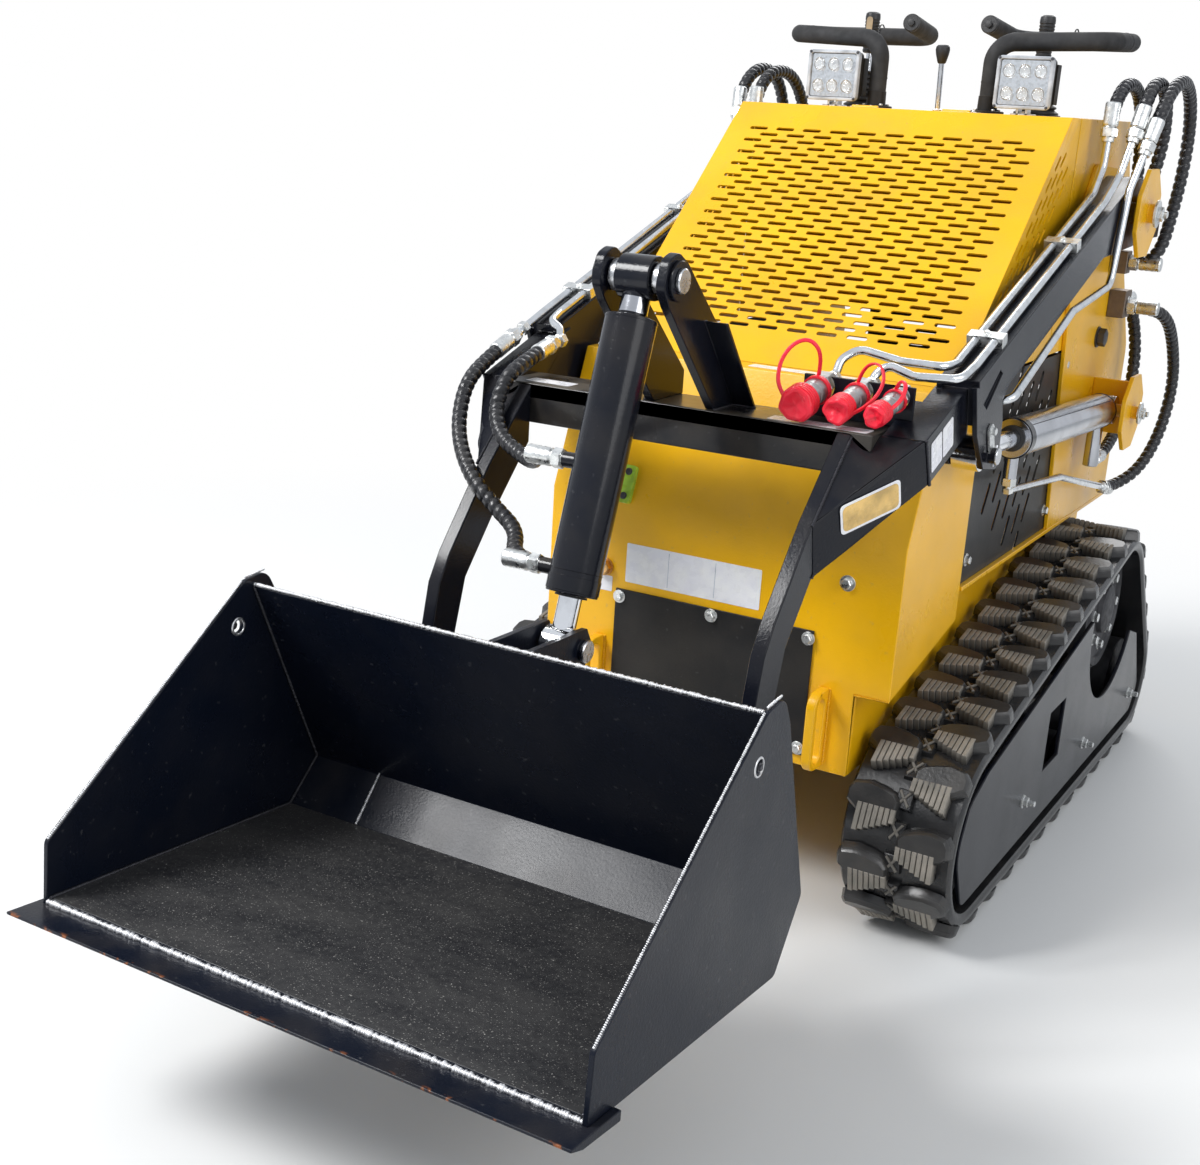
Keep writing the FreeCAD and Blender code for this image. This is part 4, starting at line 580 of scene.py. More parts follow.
# rows of punched slots: every other row is set on by half a pitch, and the lot is cut out of the sheet
punched, given, output = plan("punched rows", Punch=bpy.types.Object, Columns=int, Rows=int, Pitch=float,
                              Row_step=float, Stagger=float, Middle=tuple, Turn=tuple,
                              Material=bpy.types.Material)
wide = calc(punched, "MULTIPLY", calc(punched, "SUBTRACT", given.outputs["Columns"], 1),
            given.outputs["Pitch"])
high = calc(punched, "MULTIPLY", calc(punched, "SUBTRACT", given.outputs["Rows"], 1),
            given.outputs["Row_step"])
grid = add(punched, "GeometryNodeMeshGrid", Size_X=wide, Size_Y=high, Vertices_X=given.outputs["Columns"],
           Vertices_Y=given.outputs["Rows"])
order = add(punched, "GeometryNodeInputIndex")
row = calc(punched, "MODULO", order.outputs[0], given.outputs["Rows"])
odd = calc(punched, "MODULO", row, 2.0)
onward = calc(punched, "MULTIPLY", calc(punched, "SUBTRACT", odd, 0.5), given.outputs["Stagger"])
shift = add(punched, "ShaderNodeCombineXYZ", X=onward)
bricked = add(punched, "GeometryNodeSetPosition", Geometry=grid.outputs["Mesh"], Offset=shift.outputs[0])
punch = add(punched, "GeometryNodeObjectInfo", Object=given.outputs["Punch"])
spots = add(punched, "GeometryNodeMeshToPoints", Mesh=bricked.outputs[0])
copies = add(punched, "GeometryNodeInstanceOnPoints", Points=spots.outputs[0],
             Instance=punch.outputs["Geometry"])
moved = add(punched, "GeometryNodeTransform", Geometry=copies.outputs[0], Translation=given.outputs["Middle"],
            Rotation=given.outputs["Turn"])
solid_punches = add(punched, "GeometryNodeRealizeInstances", Geometry=moved.outputs[0])
holes = add(punched, "GeometryNodeMeshBoolean", [given.outputs["Geometry"]], operation="DIFFERENCE",
            solver="MANIFOLD")
punched.links.new(solid_punches.outputs[0], holes.inputs["Mesh 2"])
close_tree(punched, given, output, holes.outputs[0])


def punch_rows(mesh, cutter, columns, rows, pitch, row_step, middle, turn):
    """Punches a field of slots through a sheet; sizes and the middle in mm, the turn in radians."""
    return grown(punched, mesh, Punch=cutter, Columns=columns, Rows=rows, Pitch=pitch / 1000,
                 Row_step=row_step / 1000, Stagger=pitch / 2000,
                 Middle=tuple(value / 1000 for value in middle), Turn=turn)


yellow = paint("yellow_powder_coat", (0.92, 0.485, 0.003), shine=0.26, coat=0.12, dusty=0.20)
# the navy tint in this near-black colour is a painted reflection of blue sky on the gloss
black = paint("black_gloss_paint", (0.0060, 0.0072, 0.0125), shine=0.13, coat=0.12, dusty=0.12,
              film=0.015, scuffs=0.12)
hood_slot = slot_cutter(35, 8, 26)
slot_pitch, slot_row_step = 51.7, 15.4
cowl_top = 1264
hood_foot_y, hood_foot_z, hood_top_y = -88, 863, 367
side_sheet_x = 302.5
slope = math.atan2(cowl_top - hood_foot_z, hood_top_y - hood_foot_y)
rise, run = math.sin(slope), math.cos(slope)
sheet = punch_rows(eased("hood", 1.0), hood_slot, 10, 31, slot_pitch, slot_row_step, (2.5, 143, 1067),
                   (slope, 0, 0))
flange_turn = tuple(Matrix(((0, 0, 1), (run, -rise, 0), (rise, run, 0))).to_euler())
for side in (-side_sheet_x, side_sheet_x):
    # the flange's slots follow the fold: five rows at the rear, three where the flange narrows
    for columns, rows, middle, depth in ((8, 5, 350, 51), (2, 3, 92, 36)):
        spot = (side, hood_foot_y + middle * run + depth * rise, hood_foot_z + middle * rise - depth * run)
        sheet = punch_rows(sheet, hood_slot, columns, rows, slot_pitch, slot_row_step, spot, flange_turn)
place("hood_grille", smooth(sheet, 30), yellow, "hood", "yellow_paint", ("hood",))

# ------------------------------------------------------------------ lift arm
# Two box arms carry the lines, turn in at the elbows and go down to the bucket as plate legs; a cross
# member ties them. All are welded steel in black gloss paint, with dust on the cross member.

hands = {"left": 1, "right": -1}


# a weld bead is a row of small overlapping ripples along a seam
ripples, given, output = plan("weld", Ripple=bpy.types.Object, Step=float, Uneven=float,
                              Material=bpy.types.Material)
seam = add(ripples, "GeometryNodeMeshToCurve", Mesh=given.outputs["Geometry"])
stepped = add(ripples, "GeometryNodeResampleCurve", mode="LENGTH", Curve=seam.outputs[0],
              Length=given.outputs["Step"])
heading = add(ripples, "GeometryNodeInputTangent")
turn = add(ripples, "FunctionNodeAlignRotationToVector", axis="X", Vector=heading.outputs[0])
drop = add(ripples, "GeometryNodeObjectInfo", Object=given.outputs["Ripple"])
least = calc(ripples, "SUBTRACT", 1.0, given.outputs["Uneven"])
most = calc(ripples, "ADD", 1.0, given.outputs["Uneven"])
chance = add(ripples, "FunctionNodeRandomValue", data_type="FLOAT", Seed=11)
ripples.links.new(least, chance.inputs[2])
ripples.links.new(most, chance.inputs[3])
copies = add(ripples, "GeometryNodeInstanceOnPoints", Points=stepped.outputs[0],
             Instance=drop.outputs["Geometry"], Rotation=turn.outputs[0], Scale=chance.outputs[1])
close_tree(ripples, given, output, copies.outputs[0])


def weld(name, runs, body, material, size=3.2, step_length=2.6, slot="black_paint", uneven=0.18):
    """Weld beads along runs of points in mm, as one piece."""
    ball = bmesh.new()
    bmesh.ops.create_icosphere(ball, subdivisions=1, radius=size / 1000)
    bmesh.ops.scale(ball, vec=(0.72, 1, 1), verts=ball.verts)
    ball_mesh = bpy.data.meshes.new("ripple")
    ball.to_mesh(ball_mesh)
    ball.free()
    lines = bpy.data.meshes.new("seams")
    points, edges = [], []
    for run_points in runs:
        edges += [(len(points) + i, len(points) + i + 1) for i in range(len(run_points) - 1)]
        points += [Vector(point) / 1000 for point in run_points]
    lines.from_pydata(points, edges, [])
    bead = grown(ripples, lines, Ripple=ball_mesh, Step=step_length / 1000, Uneven=uneven, Material=material)
    return place(name, smooth(bead, 60), None, body, slot)


def both_runs(runs):
    """The same runs of points, and again on the machine's other side."""
    return list(runs) + [mirrored_route(points) for points in runs]


dusty_black = paint("black_paint_dusty", (0.0095, 0.0098, 0.0125), shine=0.22, coat=0.35, dusty=0.55,
                    film=0.30, scuffs=0.35)
seam_black = metal("painted_weld", (0.055, 0.055, 0.062), shine=0.30, spread=0.2, coarse=90)
for hand in hands:
    dressed(f"lift_arm_{hand}", black, 1.5)
    dressed(f"arm_elbow_{hand}", black, 2.0)
    dressed(f"front_leg_{hand}", black, 2.4, 3)
dressed("cross_member", dusty_black, 2.5, 3)
dressed("tilt_ears", black, 1.6)
weld("arm_welds", both_runs([
    [(270.5, -514, 728), (270.5, -405, 831)],
    [(270.5, -497, 652), (270.5, -405, 745)],
    [(363.5, -367, 834), (363.5, -333, 768)],
    [(57, -397, 838.5), (57, -306, 838.5)],
    [(91, -335, 838.5), (57, -335, 838.5)],
    [(56.5, -330, 842), (56.5, -438, 966)]]), "lift_arm", seam_black, 2.6)

# ------------------------------------------------------------------ rubber tracks
# Each track is one moulded rubber loop. Two columns of winged lugs set half a pitch apart stand on it,
# each with pale worn ribs along one side, and link blocks with a raised cross run between them.

# each wheel's y, z and radius out to the belt's outer line, in mm
wheels = [(-104, 170, 170), (955, 130, 130), (732, 340, 165)]


def belt_line(depth, step):
    """Points (y, z) in mm every step round the belt, at a depth below its outer line."""
    runs = []
    for index, (y0, z0, r0) in enumerate(wheels):
        y1, z1, r1 = wheels[(index + 1) % 3]
        lean = math.asin((r0 - r1) / math.hypot(y1 - y0, z1 - z0))
        runs.append((Vector((y0, z0)), Vector((y1, z1)), r0 - depth, r1 - depth,
                     math.atan2(z1 - z0, y1 - y0) - math.pi / 2 + lean))
    points = []
    for index, (start, end, r0, r1, normal) in enumerate(runs):
        out = Vector((math.cos(normal), math.sin(normal)))
        count = max(2, round((end - start).length / step))
        points += [(start + out * r0).lerp(end + out * r1, i / count) for i in range(count)]
        next_normal = runs[(index + 1) % 3][4]
        while next_normal < normal:
            next_normal += 2 * math.pi
        count = max(2, round((next_normal - normal) * (r1 + depth) / step))
        angles = [normal + (next_normal - normal) * i / count for i in range(count)]
        points += [end + Vector((math.cos(angle), math.sin(angle))) * r1 for angle in angles]
    return points


def carcass(profile):
    """A closed band round the belt with one section of (x, depth) mm."""
    lines = [belt_line(depth, 9) for x, depth in profile]
    sections = [[(x, *line[i]) for (x, depth), line in zip(profile, lines)] for i in range(len(lines[0]))]
    return skinned("belt", sections, capped=False)


def lug(corners, high, foot, slope=1.3, inset=0.8, worn=0.0):
    """A moulded block on corners (across, along) in mm, wider at its foot, with a sloping edge on top."""
    turns = []
    for i in range(len(corners)):
        before = (Vector(corners[i]) - Vector(corners[i - 1])).normalized()
        after = (Vector(corners[(i + 1) % len(corners)]) - Vector(corners[i])).normalized()
        away = Vector((before.y + after.y, -before.x - after.x))
        turns.append(away / max(0.5, away.length_squared / 2))
    rings = [[(*(Vector(corner) + turn * grow), level) for corner, turn in zip(corners, turns)]
             for grow, level in ((foot, -2.0), (0.4, high - slope), (-inset, high))]
    mesh = skinned("lug", rings)
    mesh.attributes.new("worn", "FLOAT", "POINT")
    for item, vertex in zip(mesh.attributes["worn"].data, mesh.vertices):
        item.value = worn if vertex.co.z > 0 else 0.0
    return mesh


# the same block stands at even steps round a closed line in a plane of X, turned to face outward
studded, given, output = plan("studded", Block=bpy.types.Object, Count=int, Material=bpy.types.Material)
ring = add(studded, "GeometryNodeMeshToCurve", Mesh=given.outputs["Geometry"])
even = add(studded, "GeometryNodeResampleCurve", mode="COUNT", Curve=ring.outputs[0],
           Count=given.outputs["Count"])
forward = add(studded, "GeometryNodeInputTangent").outputs[0]
outward = add(studded, "ShaderNodeVectorMath", [forward, (1, 0, 0)], operation="CROSS_PRODUCT").outputs[0]
upright = add(studded, "FunctionNodeAlignRotationToVector", axis="Z", Vector=outward)
ahead = add(studded, "FunctionNodeAlignRotationToVector", axis="Y", pivot_axis="Z",
            Rotation=upright.outputs[0], Vector=forward)
shape = add(studded, "GeometryNodeObjectInfo", Object=given.outputs["Block"])
stood = add(studded, "GeometryNodeInstanceOnPoints", Points=even.outputs[0],
            Instance=shape.outputs["Geometry"], Rotation=ahead.outputs[0])
close_tree(studded, given, output, stood.outputs[0])


def around(block, count, start=0):
    """Copies of a block round the left belt's middle, from one of the line's points on."""
    line = lug_line[start:] + lug_line[:start]
    mesh = bpy.data.meshes.new("ring")
    mesh.from_pydata([(lug_x / 1000, point.x / 1000, point.y / 1000) for point in line],
                     [(i, (i + 1) % len(line)) for i in range(len(line))], [])
    return grown(studded, mesh, Block=block, Count=count, Material=worn_rubber)


def welded(*meshes):
    """Several meshes as one, as they lie."""
    work = bmesh.new()
    for mesh in meshes:
        work.from_mesh(mesh)
    whole = bpy.data.meshes.new("whole")
    work.to_mesh(whole)
    work.free()
    return whole


def other_side(mesh):
    """A mirrored copy for the machine's other side."""
    copy = mesh.copy()
    copy.transform(Matrix.Scale(-1, 4, (1, 0, 0)))
    copy.flip_normals()
    return copy


worn_rubber, tree, shader = finish("track_rubber", 0.55)
wear = add(tree, "ShaderNodeAttribute", attribute_name="worn").outputs["Fac"]
patches = mottle(tree, 26, 5, 0.30, 0.72)
black_rubber = between(tree, patches, (0.0110, 0.0115, 0.0130), (0.028, 0.027, 0.027))
grey_rubber = between(tree, patches, (0.15, 0.14, 0.12), (0.30, 0.27, 0.23))
tree.links.new(between(tree, wear, black_rubber, grey_rubber), shader.inputs["Base Color"])
tree.links.new(number(tree, wear, 0.25, 0.72), shader.inputs["Roughness"])
relief(tree, shader, mottle(tree, 190, 4, 0.2, 0.8), 0.0004, 0.5)

wing = [(5, -20), (14, -30), (34, -37), (56, -41), (80, -36), (87, -24), (87, -6), (76, 2), (64, 10),
        (50, 10), (40, 5), (24, 2), (6, 4)]
shoulder = lug(wing, 19.0, 3.0, 5.0, 3.6, 0.06)
tooth_wide = 6.6
teeth = [lug([(x, -6), (x + tooth_wide, -6), (x + tooth_wide, tip), (x, tip)], 20.2, 1.0, 1.0, 0.6, 1.0)
         for x, tip in ((6, 15), (15, 19), (24, 23), (33, 27), (42, 31), (51, 35), (60, 38))]
wing_in = welded(shoulder, *teeth)
wing_out = other_side(wing_in)
link_block = welded(lug([(-12, -15), (12, -15), (12, 15), (-12, 15)], 9.0, 2.5),
                    lug([(-10, -12), (-7, -13), (10, 10), (8, 13)], 12.0, 0.3, worn=0.6),
                    lug([(8, -13), (10, -10), (-7, 13), (-10, 10)], 12.0, 0.3, worn=0.6))
lug_x, lug_count = 354, 31
lug_line = belt_line(20, 4)
half_pitch = len(lug_line) // (2 * lug_count)
ground_gap = 0.0002
track = welded(around(wing_in, lug_count), around(wing_out, lug_count, half_pitch),
               around(link_block, 2 * lug_count, half_pitch // 2))
for vertex in track.vertices:
    # the lower lugs are pressed flat on the ground
    vertex.co.z = max(vertex.co.z, ground_gap)
band = [(264, 26), (269, 20), (439, 20), (444, 26), (444, 36), (440, 41.5), (268, 41.5), (264, 36)]
belt = smooth(carcass(band), 50)
for hand, side in hands.items():
    lugs, band_mesh = (track, belt) if side > 0 else (other_side(track), other_side(belt))
    place(f"track_lugs_{hand}", smooth(lugs, 30), worn_rubber, "chassis", "track_rubber")
    place(f"track_belt_{hand}", band_mesh, worn_rubber, "chassis", "track_rubber", (f"rubber_track_{hand}",))

# ------------------------------------------------------------------ track frames and wheels
# A painted plate covers each track frame, open at the drive sprocket and at a slanted window, and held by
# three bolts with long shanks. Cast idlers and rollers turn inside, and a capped hub with eight bolts holds
# the sprocket.

to_left, to_right = (1, 0, 0), (-1, 0, 0)
to_front, to_rear, to_top = (0, -1, 0), (0, 1, 0), (0, 0, 1)


def lathe(loop, sides=28):
    """A ring turned round Z from a closed loop of (height, radius) corners in mm, taken outside upwards."""
    return turned(loop, sides, capped=False)


def bolt(across=13, high=8, washer=11, thick=2.0, shank=0):
    """A hexagon bolt with a washer, standing on Z, in mm; a shank shows beyond the head where it is a nut."""
    hexa = across / 2 / math.cos(math.pi / 6)
    top = thick + high
    end = top + shank
    parts = [turned([(0, washer), (thick - 0.3, washer), (thick, washer * 0.97)]),
             turned([(thick, hexa * 0.93), (thick + 0.6, hexa), (top - 1, hexa), (top, hexa * 0.86)], 6)]
    if shank:
        parts.append(turned([(top, across * 0.30), (end - 1, across * 0.30), (end, across * 0.24)], 14))
    return welded(*parts)


def both_sides(spots):
    """The same spots, and again on the machine's other side."""
    return list(spots) + [((-p[0], p[1], p[2]), (-f[0], f[1], f[2]), *rest) for p, f, *rest in spots]


for hand in hands:
    dressed(f"track_side_plate_{hand}", black, 2.4, 3)
    dressed(f"track_frame_{hand}", dusty_black, 2.0)
cast = metal("cast_iron", (0.085, 0.085, 0.09), shine=0.50, spread=0.2, coarse=30)
for node in ("idlers", "bottom_rollers", "drive_sprockets"):
    dressed(node, cast, 3.0, 3)
hub = welded(lathe([(0, 98), (5, 100), (5, 116), (0, 118)], 48), turned([(0, 50), (9, 48), (12, 42)], 40))
hub_middle, hub_bolts, hub_bolt_radius = Vector((402, 732, 340)), 8, 74
fittings("sprocket_hubs", hub, both_sides([(hub_middle, to_left)]), cast, "chassis", "cast_iron")
hub_turns = [math.tau * k / hub_bolts for k in range(hub_bolts)]
hub_ring = [(hub_middle + hub_bolt_radius * Vector((0, math.cos(turn), math.sin(turn))), to_left)
            for turn in hub_turns]
fittings("sprocket_bolts", bolt(16, 8, 12), both_sides(hub_ring), zinc, "chassis", "zinc")
shank_bolt = turned([(0, 13), (2.2, 13), (2.4, 9.8), (9.5, 9.8), (9.7, 5.6), (21, 5.6), (22, 4.6)], 6)
shanks = [((438, y, z), to_left) for y, z in ((155, 136), (559, 116), (929, 112))]
fittings("side_plate_bolts", shank_bolt, both_sides(shanks), zinc, "chassis", "zinc")

# ------------------------------------------------------------------ labels on the lift arms
# Film labels with round corners lie on the elbows, on the arms' sides and on the cross member. They are
# bare of words and signs.


def rounded(x0, x1, y0, y1, corner, steps):
    """The points round a rectangle with round corners."""
    points = []
    for x, y, start in ((x1 - corner, y1 - corner, 0), (x0 + corner, y1 - corner, 90),
                        (x0 + corner, y0 + corner, 180), (x1 - corner, y0 + corner, 270)):
        for i in range(steps + 1):
            angle = math.radians(start + 90 * i / steps)
            points.append((x + corner * math.cos(angle), y + corner * math.sin(angle)))
    return points


def plate(name, middle, out, up, wide, high, material, body, corner=4, thick=0.5, slot="zinc", lift=0.25):
    """A thin plate or label with round corners, whose face looks out; sizes in mm."""
    up = Vector(up)
    across = up.cross(Vector(out)).normalized()
    up.normalize()
    up = (up - across * up.dot(across)).normalized()
    out = across.cross(up)
    outline = rounded(-wide / 2, wide / 2, -high / 2, high / 2, corner, 3)
    rings = [[Vector(middle) + across * x + up * y + out * level for x, y in outline]
             for level in (lift, lift + thick)]
    return place(name, skinned(name, rings), material, body, slot)


white_label = rubber("white_label", (0.80, 0.80, 0.85), shine=0.26, dusty=0.04)
tan_label = rubber("tan_label", (0.52, 0.34, 0.11), shine=0.28, dusty=0.04)
for hand, side in hands.items():
    elbow_out, elbow_up = (side * 0.891, -0.425, -0.153), (0, -26, 72)
    for suffix, wide, high, film, lift in (("edge", 106, 46, white_label, 0.9),
                                           ("face", 98, 38, tan_label, 1.5)):
        plate(f"elbow_label_{suffix}_{hand}", (side * 316.5, -428, 746), elbow_out, elbow_up, wide,
              high, film, "lift_arm", corner=7, lift=lift)
    for part, y, z in (("front", -318, 812), ("rear", -276, 827)):
        plate(f"arm_label_{part}_{hand}", (side * 363, y, z), (side, 0, 0), (0, -0.36, 1), 41, 46,
              white_label, "lift_arm", corner=4)
for name, spot, wide in (("coupler_label", (214, -384, 838), 150), ("fitting_label", (-232, -374, 838), 78)):
    plate(name, spot, to_top, to_rear, wide, 30, white_label, "lift_arm", corner=3)

# ------------------------------------------------------------------ steel oil lines
# Bright zinc tubes run in pairs along the top of each arm, held by two clamps; a third runs down the left
# arm's side. Hexagon nuts join them to the hoses and to the couplers.
line_steel = metal("line_steel", (0.74, 0.76, 0.78), shine=0.13, spread=0.14, coarse=60)
dressed("arm_lines", line_steel, 0)
dressed("line_clamps", zinc, 0.8)
for hand in hands:
    dressed(f"cylinder_line_{hand}", line_steel, 0)
small_bolt = bolt(8, 4, 6.5, 1.0)
arm_x, arm_y, arm_z = 350, -215, 900
arm_slope = (1152 - arm_z) / (505 - arm_y)
clamp_lean = Vector((0, -arm_slope, 1)).normalized()
clamp_tops = [(Vector((arm_x, y, arm_z + arm_slope * (y - arm_y))) + clamp_lean * 17, clamp_lean)
              for y in (-105, 239)]
fittings("clamp_bolts", small_bolt, both_sides(clamp_tops), zinc, "lift_arm", "zinc")
small_nut = turned([(0, 9.5), (1, 11.2), (12, 11.2), (13, 9.5)], 6)
line_nuts = [((186, -286, 886.5), (0, 1, 0.12)), ((246, -286, 886.5), (0, 1, 0.12)),
             ((353, -66, 850), to_left),
             ((-290, -266, 883.5), (0, 1, 0.12)), ((-363.8, -262, 893), (0, 0.9, 0.32))]
fittings("line_nuts", small_nut, line_nuts, zinc, "lift_arm", "zinc")
for hand, side in hands.items():
    gland_nuts = [((side * arm_x, 112, 702), (0, 0, -1), 1.1), ((side * arm_x, 112, 686), (0, 0.3, -1), 0.8)]
    fittings(f"gland_nut_{hand}", small_nut, gland_nuts, zinc, f"lift_barrel_{hand}", "zinc")

# ------------------------------------------------------------------ nose and chassis
# The yellow nose is welded sheet, wide above the tracks and folded over a sloped panel. It carries a bolted
# black cover, two welded tow loops, a sight gauge and bare stickers.
dressed("front_box", yellow, 2.2, 3)
dressed("main_frame", yellow, 1.6)
dressed("tow_loops", yellow, 3.0, 3)
satin_black = paint("black_satin_paint", (0.0155, 0.0155, 0.0165), shine=0.38, coat=0.1, dusty=0.35,
                    film=0.12, scuffs=0.25)
dressed("access_plate", satin_black, 1.2)
cover_bolt = bolt(13, 7, 11, 2)
nose_y = -228
plate_bolts = [((x, nose_y - 4, z), to_front)
               for x, z in ((-169, 475), (0, 477), (169, 475), (-169, 292), (169, 292))]
plate_bolts += [((-222, nose_y, 574), to_front, 1.15), ((222, nose_y, 574), to_front, 1.15)]
fittings("nose_bolts", cover_bolt, plate_bolts, zinc, "chassis", "zinc")
weld_y = nose_y - 1
weld("loop_welds", [[(x, weld_y, 276), (x, weld_y, 400)] for x in (-212, -194, 194, 212)], "chassis",
     yellow, 2.4, slot="yellow_paint")
weld("nose_welds", both_runs([[(252.6, weld_y, 399), (308, weld_y, 401)]]), "chassis", yellow, 1.6,
     slot="yellow_paint")
plate("nose_label", (-41, nose_y, 534), to_front, to_top, 242, 66, white_label, "chassis", corner=2)
red_ink = rubber("red_ink", (0.42, 0.02, 0.03), shine=0.30, dusty=0.05)
grey_ink = rubber("grey_ink", (0.34, 0.37, 0.42), shine=0.35, dusty=0.05)
for name, x in (("nose_label_line_77", -84), ("nose_label_line_161", 0)):
    plate(name, (x, nose_y, 534), to_front, to_top, 1.2, 58, grey_ink, "chassis", corner=0.5,
          thick=0.2, lift=0.7)
plate("ledge_label", (68, -116, 863), to_top, to_rear, 177, 26, white_label, "chassis", corner=2)
plate("filler_tag", (-203, nose_y, 492), to_front, to_top, 34, 26, white_label, "chassis", corner=2)
brass = metal("brass", (0.72, 0.42, 0.16), shine=0.24, spread=0.2, coarse=60)
fittings("filler_nut", bolt(24, 12, 15, 3), [((-201, nose_y, 520), to_front)], brass, "chassis", "zinc")
gauge_green = rubber("sight_gauge", (0.34, 0.55, 0.05), shine=0.25, dusty=0.2)
panel_out = Vector((0, -224, 85)).normalized()
panel_up = Vector((0, 85, 224)).normalized()
gauge_foot = Vector((-172, -219, 661))
plate("sight_gauge", gauge_foot, panel_out, panel_up, 24, 62, gauge_green, "chassis", corner=5,
      thick=9, slot="black_plastic")
dark_bolt = bolt(10, 3, 6, 0.8)
dark_steel = metal("dark_steel", (0.10, 0.10, 0.11), shine=0.35, spread=0.2, coarse=60)
gauge_ends = [(gauge_foot + panel_up * along + panel_out * 9.2, panel_out) for along in (-20, 20)]
fittings("gauge_bolts", dark_bolt, gauge_ends, dark_steel, "chassis", "zinc")

# ------------------------------------------------------------------ uprights and brackets
# Thick yellow plates stand behind the hood's flanges and carry the arm pivots and the lift cylinders'
# rear pins between octagonal outer plates. Oil blocks for the hoses are bolted to them.
dressed("uprights", yellow, 1.8)
dressed("pivot_brackets", yellow, 1.6)
dressed("lift_brackets", yellow, 1.6)
block_steel = metal("block_steel", (0.20, 0.16, 0.13), shine=0.45, spread=0.2, coarse=40)
dressed("hose_ports", block_steel, 2.0)
pin_bolt = bolt(19, 8, 21, 3.5, 6)
pivots = [((414, 590, 1110), to_left, 1.15), ((414, 715, 737), to_left)]
fittings("pivot_bolts", pin_bolt, both_sides(pivots), zinc, "chassis", "zinc")
fittings("upright_bolts", bolt(30, 14, 20, 3), both_sides([((312.3, 727, 869), to_left)]), dark_steel,
         "chassis", "zinc")
block_nuts = [((360, 737, 1078), to_rear), ((330, 815, 915), to_rear), ((345.4, 790, 940), to_left, 0.8)]
fittings("block_screws", small_bolt, both_sides(block_nuts), zinc, "chassis", "zinc")
weld("upright_welds", both_runs([
    [(312.8, 676, 1088), (312.8, 676, 1132)], [(312.8, 776, 712), (312.8, 776, 764)],
    [(306, 560, 521), (306, 900, 521)]]), "chassis", yellow, 2.4, slot="yellow_paint")

# ------------------------------------------------------------------ engine covers and engine
# Black pressed covers close the engine bay on both sides, with rows of slanted vents; a dark cast engine
# stands behind them. The rear grille is punched plate.
vent = slot_cutter(58, 13, 26)
covers = eased("engine_side_covers", 0.8)
vent_turn = tuple(Matrix(((0, 0, 1), (0.5, -0.866, 0), (0.866, 0.5, 0))).to_euler())
for side in (-side_sheet_x, side_sheet_x):
    covers = punch_rows(covers, vent, 4, 7, 74, 42, (side, 330, 700), vent_turn)
place("engine_cover_skins", smooth(covers, 30), satin_black, "chassis", "black_paint",
      ("engine_side_covers",))
grille = punch_rows(eased("rear_grille", 0.8), slot_cutter(60, 10, 30), 5, 14, 84, 20, (0, 989, 690),
                    (math.pi / 2, 0, 0))
place("rear_grille_skin", smooth(grille, 30), satin_black, "chassis", "black_paint", ("rear_grille",))
dressed("engine_block", cast, 6, 3)
dressed("engine_mounts", cast, 3)
cover_corners = both_sides([((304, y, z), to_left) for y in (84, 540) for z in (560, 835)])
fittings("cover_bolts", cover_bolt, cover_corners, zinc, "chassis", "zinc")

# ------------------------------------------------------------------ bucket
# Plates of about 7 mm are welded to a bent floor and back, with a bevelled edge under the floor's front.
# The floor's paint is worn dull and gritty, rust starts on the edge, and the beads along the rims, the back's
# top and the edge are left bright.
# the navy tint in the bucket's near-black colour is a painted reflection of blue sky on the gloss
bucket_black = paint("bucket_paint", (0.0045, 0.0070, 0.0150), shine=0.24, coat=0.08, dusty=0.10,
                     film=0.02, scuffs=0.35)
floor_dust, tree, shader = finish("bucket_floor", 0.6)
fine = mottle(tree, 95, 6, 0.38, 0.66)
grit = mottle(tree, 420, 3, 0.64, 0.70)
broad = mottle(tree, 7, 4, 0.35, 0.75, (1, 2.2, 1))
worn_floor = between(tree, fine, (0.022, 0.022, 0.024), (0.036, 0.036, 0.037))
dusted = between(tree, calc(tree, "MULTIPLY", broad, 0.35), worn_floor, (0.050, 0.047, 0.043))
tree.links.new(between(tree, grit, dusted, (0.30, 0.29, 0.27)), shader.inputs["Base Color"])
tree.links.new(number(tree, broad, 0.34, 0.60), shader.inputs["Roughness"])
relief(tree, shader, fine, 0.0004, 0.4)
# (y, z) where the floor, the strip behind it and the back meet, in mm
inside = ((-1250, 278), (-803, 246), (-742, 302), (-876, 595))
shell_mesh = eased("bucket_shell", 1.2)
coat_all(shell_mesh, bucket_black)
shell_mesh.materials.append(floor_dust)
for polygon in shell_mesh.polygons:
    # only the floor's own face, inside the bucket, is worn
    middle = polygon.center * 1000
    if polygon.normal.z > 0.9 and middle.z > 244 and middle.y < -800:
        polygon.material_index = 1
place("bucket_shell_skin", shell_mesh, None, "bucket", "black_paint", ("bucket_shell",))
dressed("bucket_sides", bucket_black, 1.4, 2)
# the navy tint in this near-black colour is a painted reflection of blue sky; the rust spots on the front are
# real
edge_paint = paint("edge_paint", (0.0045, 0.0070, 0.0150), shine=0.24, coat=0.08, dusty=0.10,
                   film=0.02, scuffs=0.6)
tree = edge_paint.node_tree
shader = tree.nodes["Principled BSDF"]
painted = shader.inputs["Base Color"].links[0].from_socket
where = add(tree, "ShaderNodeTexCoord")
along = add(tree, "ShaderNodeSeparateXYZ", [where.outputs["Object"]]).outputs["Y"]
at_front = add(tree, "ShaderNodeMapRange", Value=along, From_Min=-1.298, From_Max=-1.304).outputs[0]
rust_spots = calc(tree, "MULTIPLY", mottle(tree, 75, 8, 0.60, 0.66), at_front)
tree.links.new(between(tree, rust_spots, painted, (0.26, 0.085, 0.028)), shader.inputs["Base Color"])
dressed("cutting_edge", edge_paint, 1.6, 2)
dressed("bucket_hinges", bucket_black, 1.4, 2)
